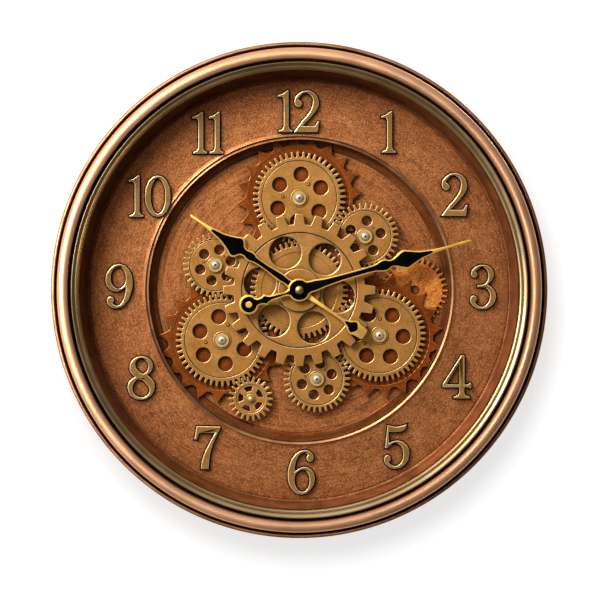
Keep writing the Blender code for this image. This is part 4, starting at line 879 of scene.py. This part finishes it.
def hands():
    hour = [
        (0.1067, 0.0005), (0.0926, 0.0014), (0.076, 0.0036), (0.066, 0.007), (0.0612, 0.0091),
        (0.0585, 0.008), (0.056, 0.0044), (0.0532, 0.0032), (0.0483, 0.0042), (0.0419, 0.0027),
        (0.0193, 0.0035), *boss(0.0, 0.0091, 26.0, 160.0, 8), (-0.015, 0.0019), (-0.028, 0.0013),
        (-0.0403, 0.0011), (-0.0448, 0.0016), (-0.0492, 0.004), (-0.0535, 0.006), (-0.0565, 0.0052),
        (-0.0605, 0.0047), (-0.0637, 0.0042), (-0.0643, 0.0015),
    ]
    minute = [
        (0.1442, 0.0005), (0.1184, 0.0013), (0.103, 0.0034), (0.093, 0.0066), (0.0894, 0.0078),
        (0.085, 0.0064), (0.08, 0.0036), (0.0773, 0.003), (0.0725, 0.0049), (0.064, 0.0031), (0.0507, 0.0027),
        (0.0217, 0.0037), (0.015, 0.0046), *boss(0.0, 0.0093, 36.0, 162.0, 8), (-0.0177, 0.002),
        (-0.026, 0.003), (-0.0282, 0.0044), (-0.031, 0.0032), *boss(WEIGHT_PLACE, 0.008, 26.0, 172.0, 10),
    ]
    hour_enamel = [
        (0.086, 0.0004), (0.075, 0.0026), (0.066, 0.0058), (0.0616, 0.0077), (0.0592, 0.0066),
        (0.0566, 0.0034), (0.0534, 0.0022), (0.0483, 0.0031), (0.0419, 0.0018), (0.0193, 0.0023),
        *boss(0.0, 0.0066, 26.0, 172.0, 8),
    ]
    minute_enamel = [
        (0.112, 0.0004), (0.102, 0.0024), (0.093, 0.0054), (0.0896, 0.0065), (0.0858, 0.0052),
        (0.0806, 0.0027), (0.0773, 0.0021), (0.0725, 0.0038), (0.064, 0.0021), (0.0507, 0.0017),
        (0.0217, 0.0026), (0.015, 0.0035), *boss(0.0, 0.008, 36.0, 166.0, 8), (-0.0177, 0.0009),
        (-0.026, 0.0018), (-0.0282, 0.003), (-0.031, 0.0019), *boss(WEIGHT_PLACE, 0.0063, 26.0, 172.0, 10),
    ]
    tail_enamel = [
        (-0.045, 0.0003), (-0.049, 0.0022), (-0.053, 0.0047), (-0.0552, 0.003), (-0.0566, 0.0006),
    ]
    hour_bore, minute_bore = eye(0.0, 0.0031), eye(0.0, 0.0018)
    hour_front, minute_front = HOUR_BACK + HAND_THICKNESS, MINUTE_BACK + HAND_THICKNESS
    flat_piece(
        "hour_hand_gold", "hour", [both_sides(hour), hour_bore], HOUR_BACK, hour_front, HAND_ROUNDING,
        HAND_GOLD, HOUR_DIRECTION, ["hour_hand"])
    flat_piece(
        "minute_hand_gold", "minute", [both_sides(minute), minute_bore], MINUTE_BACK, minute_front,
        HAND_ROUNDING, HAND_GOLD, MINUTE_DIRECTION, ["minute_hand"])
    inlay("hour_hand_enamel", "hour", hour_enamel, [hour_bore], hour_front, HOUR_DIRECTION)
    inlay("hour_hand_tail_enamel", "hour", tail_enamel, [], hour_front, HOUR_DIRECTION)
    inlay(
        "minute_hand_enamel", "minute", minute_enamel, [minute_bore, eye(WEIGHT_PLACE, 0.0026)], minute_front,
        MINUTE_DIRECTION)


# Numerals

WORN_WIDTH, WORN_DROP = 0.00055, 0.0002
# The sheet of painted shade round each digit's foot: how far it reaches out, how far it sinks and how thick
# it is.
SHADE_SKIRT_WIDTH, SHADE_SKIRT_SUNK, SHADE_SKIRT_THICKNESS = 0.0011, 0.00028, 0.0002


def digit_form(name, end):
    """The solid's digit, laid down again as it was drawn, and the faces at its lowest or highest end."""
    form = bmesh.new()
    form.from_mesh(NODES[name].data)
    bmesh.ops.remove_doubles(form, verts=form.verts, dist=MERGED)
    bmesh.ops.transform(form, verts=form.verts, matrix=UPRIGHT.inverted())
    depth = end(corner.co.z for corner in form.verts)
    near = 2 * MERGED
    return form, [face for face in form.faces if all(abs(item.co.z - depth) < near for item in face.verts)]


def widen(form, faces, amount):
    """Push the outline of a digit's face outwards, square to its sides."""
    moves = []
    for corner in corners_of(faces):
        ways = []
        for face in corner.link_faces:
            if abs(face.normal.z) < 0.1 and not any(face.normal.dot(way) > 0.99 for way in ways):
                ways.append(face.normal.copy())
        if ways:
            outward = sum(ways, Vector()).normalized()
            moves.append((corner, outward * amount / max(0.5, outward.dot(ways[0]))))
    for corner, move in moves:
        corner.co += move


def numerals():
    """Each digit with its front edges worn to a bevel painted light as a highlight, on a near-black sheet of
    painted shade round its foot.
    """
    for name in sorted(name for name in NODES if name.startswith("numeral_")):
        form, front_faces = digit_form(name, max)
        lift(form, corners_of(front_faces), -WORN_DROP)
        for face in wear(form, front_faces, WORN_WIDTH, WORN_DROP):
            face.material_index = 1
        finished(form, name, [NUMERAL_FACE, NUMERAL_EDGE], ending="_worn", sharp=20.0)
        # A near-black sheet a little wider than the digit, just over the dial: painted shade round the
        # digit's foot.
        form, back_faces = digit_form(name, min)
        bmesh.ops.recalc_face_normals(form, faces=form.faces)
        widen(form, back_faces, SHADE_SKIRT_WIDTH)
        kept = set(back_faces)
        bmesh.ops.delete(form, geom=[face for face in form.faces if face not in kept], context="FACES")
        lift(form, form.verts, -SHADE_SKIRT_SUNK)
        raise_sheet(form, form.faces[:], SHADE_SKIRT_THICKNESS)
        stand(form, name + "_patina", "clock", [PAINTED_SHADE_BLACK])


# Back

COVER_BACK, COVER_FRONT = 0.002, 0.005
COVER_RADIUS = 0.1955
COVER_RINGS = ((0.164, 0.1605), (0.131, 0.1285))
COVER_SCREWS, COVER_SCREW_CIRCLE = 6, 0.188
CASE_BACK, CASE_FRONT = 0.0022, 0.0177
CASE_CORNER = 0.0025
WINDOW_PLAY = 0.003
BAY_FLOOR = 0.0167
BAY_SIZE = (0.0523, 0.0149)
MOVEMENT_SIZE, MOVEMENT_BAY = (0.056, 0.056), -0.0165
MOTOR_SIZE, MOTOR_BAY = (0.06, 0.048), -0.011
MOTOR_PLACE = (RIGHT[0][0], RIGHT[0][1] - 0.011)
KNOB_PLACE = (0.0, 0.01)
CELL_DEPTH = 0.0093


def rounded_box(form, centre, size, radius, play=0.0):
    """A rectangle with rounded corners, larger than its size by a play."""
    x, y = (size[0] + play) / 2 - radius, (size[1] + play) / 2 - radius
    points = []
    for turn, (side, rise) in enumerate(((x, y), (-x, y), (-x, -y), (x, -y))):
        first = 90.0 * turn
        points += arc(centre[0] + side, centre[1] + rise, radius, radius, first, first + 90.0, 6)
    return drawn_edge(form, points)


def drive_case(name, centre, size, bay):
    """A moulded case with an open bay in its back and a seam near its edge."""
    form = bmesh.new()
    outline = rounded_box(form, centre, size, CASE_CORNER)
    opening = rounded_box(form, (centre[0], centre[1] + bay), BAY_SIZE, 0.0006)
    plate(form, [outline, opening], BAY_FLOOR, CASE_BACK, 0.0006)
    plate(form, [rounded_box(form, centre, size, CASE_CORNER)], BAY_FLOOR, CASE_FRONT, 0.0004)
    seam = rounded_box(form, centre, size, 0.0015, -0.004)
    inner = rounded_box(form, centre, size, 0.001, -0.0052)
    plate(form, [seam, inner], 0.0024, 0.00205, 0.0001)
    finished(form, name, [CASE_BLACK, CASE_BLACK], ending="_moulded")


def cell(name, centre):
    """An AA cell lying along x, with a bare end and nipple."""
    profile = [
        (0.0, 0.0258), (0.0024, 0.0258), (0.0027, 0.0255), (0.0027, 0.0247), (0.0062, 0.0247),
        (0.0068, 0.0243), (0.0071, 0.0238), (0.0071, -0.0241), (0.0068, -0.0246), (0.006, -0.0247),
        (0.0, -0.0247),
    ]
    form = bmesh.new()
    spin_profile(form, profile, ROUND_STEPS, False)
    refinish(form, 1, lambda radius, depth: abs(depth) > 0.0239 and radius < 0.0066)
    bmesh.ops.rotate(
        form, verts=form.verts, cent=(0.0, 0.0, 0.0), matrix=Matrix.Rotation(math.pi / 2, 3, "Y"))
    lift(form, form.verts, CELL_DEPTH)
    finished(form, name, [CELL_SLEEVE, CELL_END], centre, "_sleeved")


def keyhole(form):
    """The hole for the screw's head with a slot above it for its neck."""
    head, neck, middle, top = 0.0052, 0.0027, 0.172, 0.184
    opening = math.degrees(math.asin(neck / head))
    points = arc(0.0, middle, head, head, 90.0 + opening, 450.0 - opening, 24)
    return drawn_edge(form, points + arc(0.0, top, neck, neck, 0.0, 180.0, 12))


def cross_slot(form, centre, reach, half):
    """The cross in a screw's head."""
    points = []
    for cosine, sine in ((1, 0), (0, 1), (-1, 0), (0, -1)):
        for x, y in ((half, reach), (-half, reach), (-half, half)):
            points.append((centre[0] + x * cosine - y * sine, centre[1] + x * sine + y * cosine))
    return drawn_edge(form, points)


def cover():
    """The rear cover, two low rings moulded on it, and its screws."""
    form = bmesh.new()
    outline = round_hole(form, COVER_RADIUS, steps=RING_STEPS)
    first_window = rounded_box(form, CENTRE, MOVEMENT_SIZE, CASE_CORNER, WINDOW_PLAY)
    second_window = rounded_box(form, MOTOR_PLACE, MOTOR_SIZE, CASE_CORNER, WINDOW_PLAY)
    plate(form, [outline, first_window, second_window, keyhole(form)], COVER_FRONT, COVER_BACK, 0.0004)
    for outer, inner in COVER_RINGS:
        plate(
            form, rounds(form, (outer, RING_STEPS), (inner, RING_STEPS)), COVER_BACK + 0.0002, 0.0012, 0.0003)
    finished(form, "back_cover", [COVER_BLACK, COVER_BLACK], ending="_moulded")
    form = bmesh.new()
    for index in range(COVER_SCREWS):
        place = around(COVER_SCREW_CIRCLE, math.tau * index / COVER_SCREWS)
        head = [round_hole(form, 0.0032, place, BORE_STEPS), cross_slot(form, place, 0.0017, 0.0004)]
        plate(form, head, COVER_BACK, 0.0009, 0.0005)
        plate(form, [round_hole(form, 0.0024, place, 24)], COVER_BACK, 0.0014, 0.0)
    stand(form, "cover_screws", "clock", [SCREW_STEEL, SCREW_STEEL])


def drives():
    """The two cases with their cells, the setting knob and the nut."""
    drive_case("movement_case", CENTRE, MOVEMENT_SIZE, MOVEMENT_BAY)
    drive_case("gear_motor_case", MOTOR_PLACE, MOTOR_SIZE, MOTOR_BAY)
    cell("movement_battery", (0.0, MOVEMENT_BAY))
    cell("gear_motor_battery", (MOTOR_PLACE[0], MOTOR_PLACE[1] + MOTOR_BAY))
    form = bmesh.new()
    grip = toothed_edge(form, 30, 0.00495, 0.0052, [(1.0, 0.00018), (0.0, 0.00036)], 0.0)
    plate(form, [grip], 0.0019, 0.0005, 0.0002)
    finished(form, "setting_knob", [CASE_BLACK, CASE_BLACK], KNOB_PLACE, "_fluted")
    form = bmesh.new()
    hexagon = drawn_edge(form, arc(0.0, 0.0, 0.007, 0.007, 0.0, 300.0, 5))
    plate(form, [hexagon, round_hole(form, CENTRE_BORE)], FLOOR_SEAT, 0.0232, 0.0004)
    finished(form, "bushing_nut", [TURNED_BRASS, TURNED_BRASS])


# The wall, light and camera

WALL_REACH, WALL_GAP = 3.0, 0.0015
WALL_PAINT, WALL_SHADE, WALL_GLOW = 0.85, 0.3, 0.74
SKY_BRIGHT_SIDE = (-0.62, -0.35, 0.7)
SKY_LOW, SKY_HIGH = 0.08, 1.0
PICTURE_PIXELS, RADIUS_PIXELS = 600, 248.3
ASIDE_PIXELS, BELOW_PIXELS = 0.7, 10.0
LENS, SENSOR = 250.0, 36.0
SOFTBOX_AIM = (-0.24, -0.06, 0.15)
LOW_LIT = ("dial_", "numeral_")
LIT_APART = LOW_LIT + ("frame_moulding", "bezel_", "wall")

# Each lamp's name, place, size and power, how some pieces' names begin, whether it lights those pieces or all
# the others, and where needed its aim and its spread in degrees. The last one stands behind the wall.
LAMPS = (
    ("low_key_for_the_dial", (-1.5, -1.26, 1.5), 1.37, 114.0, LOW_LIT, True),
    ("key_for_the_train", (-0.7, -1.23, 0.7), 0.59, 22.5, LIT_APART, False),
    ("softbox_for_the_frame", (-0.57, -0.86, 0.22), 0.7, 2.4, "frame_moulding", True, SOFTBOX_AIM, 50.0),
    ("light_for_the_bezel", (-0.8, -0.64, 0.32), 0.66, 8.0, "bezel_", True),
    ("light_for_the_wall", (-0.11, -1.1, 0.3), 0.52, 14.0, "wall", True),
    ("light_for_the_back", (0.6, 1.0, 0.7), 0.6, 8.0, "wall", False),
)


def grey(value):
    return value, value, value, 1.0


def backdrop():
    """A plain white wall behind the clock that keeps its shadow and is clear from behind."""
    form = bmesh.new()
    bmesh.ops.create_grid(form, x_segments=1, y_segments=1, size=WALL_REACH)
    lift(form, form.verts, -WALL_GAP)
    wall = show("wall", upright_mesh(form, "wall"))
    material = bpy.data.materials.new("wall_white")
    material.use_nodes = True
    tree = material.node_tree
    tree.nodes.remove(tree.nodes["Principled BSDF"])
    painted = node(tree, "BsdfDiffuse", {"Color": grey(WALL_PAINT)})
    shaded = node(tree, "BsdfDiffuse", {"Color": grey(WALL_SHADE)})
    glow = node(tree, "Emission", {"Strength": WALL_GLOW})
    seen = node(tree, "AddShader")
    path = node(tree, "LightPath")
    in_metal = node(tree, "Math", operation="MAXIMUM")
    looked_at = node(tree, "Math", operation="MAXIMUM")
    wall_face = node(tree, "MixShader")
    choice = node(tree, "MixShader")
    link(shaded, "BSDF", seen, 0)
    link(glow, "Emission", seen, 1)
    link(path, "Is Glossy Ray", in_metal, 0)
    link(path, "Is Transmission Ray", in_metal, 1)
    link(path, "Is Camera Ray", looked_at, 0)
    link(in_metal, "Value", looked_at, 1)
    link(looked_at, "Value", wall_face, "Fac")
    link(painted, "BSDF", wall_face, 1)
    link(seen, "Shader", wall_face, 2)
    link(node(tree, "NewGeometry"), "Backfacing", choice, "Fac")
    link(wall_face, "Shader", choice, 1)
    link(node(tree, "BsdfTransparent"), "BSDF", choice, 2)
    link(choice, "Shader", tree.nodes["Material Output"], "Surface")
    wall.data.materials.append(material)


def lamp(name, place, size, power, beginnings, lights_them, aim=(0.0, 0.0, 0.0), angle=180.0):
    """A round lamp that lights only some of the pieces. Gives its light links."""
    light = bpy.data.lights.new(name, "AREA")
    light.shape = "DISK"
    light.size = size
    light.energy = power
    light.spread = math.radians(angle)
    holder = show(name, light)
    holder.location = place
    holder.rotation_euler = (Vector(aim) - Vector(place)).to_track_quat("-Z", "Y").to_euler()
    lit = bpy.data.collections.new("lit_by_" + name)
    for piece in list(bpy.context.scene.collection.objects):
        if piece.type == "MESH" and piece.name.startswith(beginnings) == lights_them:
            lit.objects.link(piece)
    holder.light_linking.receiver_collection = lit
    return holder.light_linking


def studio():
    """A world that is brighter at the upper left, seen as white, and the lamps."""
    world = bpy.data.worlds.new("studio")
    bpy.context.scene.world = world
    world.use_nodes = True
    tree = world.node_tree
    room = tree.nodes["Background"]
    room.inputs["Color"].default_value = grey(1.0)
    towards = node(tree, "VectorMath", {1: SKY_BRIGHT_SIDE}, "DOT_PRODUCT")
    link(node(tree, "TexCoord"), "Generated", towards, 0)
    sky = spread(towards, "Value", SKY_LOW, SKY_HIGH, 0.07, 1.0)
    link(sky, "Result", room, "Strength")
    seen = node(tree, "Background", {"Color": grey(1.0), "Strength": 1.0})
    choice = node(tree, "MixShader")
    link(node(tree, "LightPath"), "Is Camera Ray", choice, "Fac")
    link(room, "Background", choice, 1)
    link(seen, "Background", choice, 2)
    link(choice, "Shader", tree.nodes["World Output"], "Surface")
    for row in LAMPS:
        links = lamp(*row)
    # The wall doesn't stand in the last lamp's way.
    links.blocker_collection = links.receiver_collection


def camera():
    """A long lens straight on, with the clock's centre a little above the middle of the picture."""
    width = PICTURE_PIXELS * FRAME_RADIUS / RADIUS_PIXELS
    holder = show("photo_view", bpy.data.cameras.new("photo_view"))
    holder.data.lens = LENS
    holder.data.clip_end = 20.0
    aside = ASIDE_PIXELS / PICTURE_PIXELS * width
    below = BELOW_PIXELS / PICTURE_PIXELS * width
    holder.location = (aside, -LIP_DEPTH - width * LENS / SENSOR, -below)
    holder.rotation_euler = (math.pi / 2, 0.0, 0.0)
    bpy.context.scene.camera = holder


frame_ring()
bezel_ring()
dial_ring()
gear_plate()
train()
fasteners()
arbors()
hands()
numerals()
cover()
drives()
backdrop()
studio()
camera()
bpy.context.scene.view_settings.view_transform = "Standard"
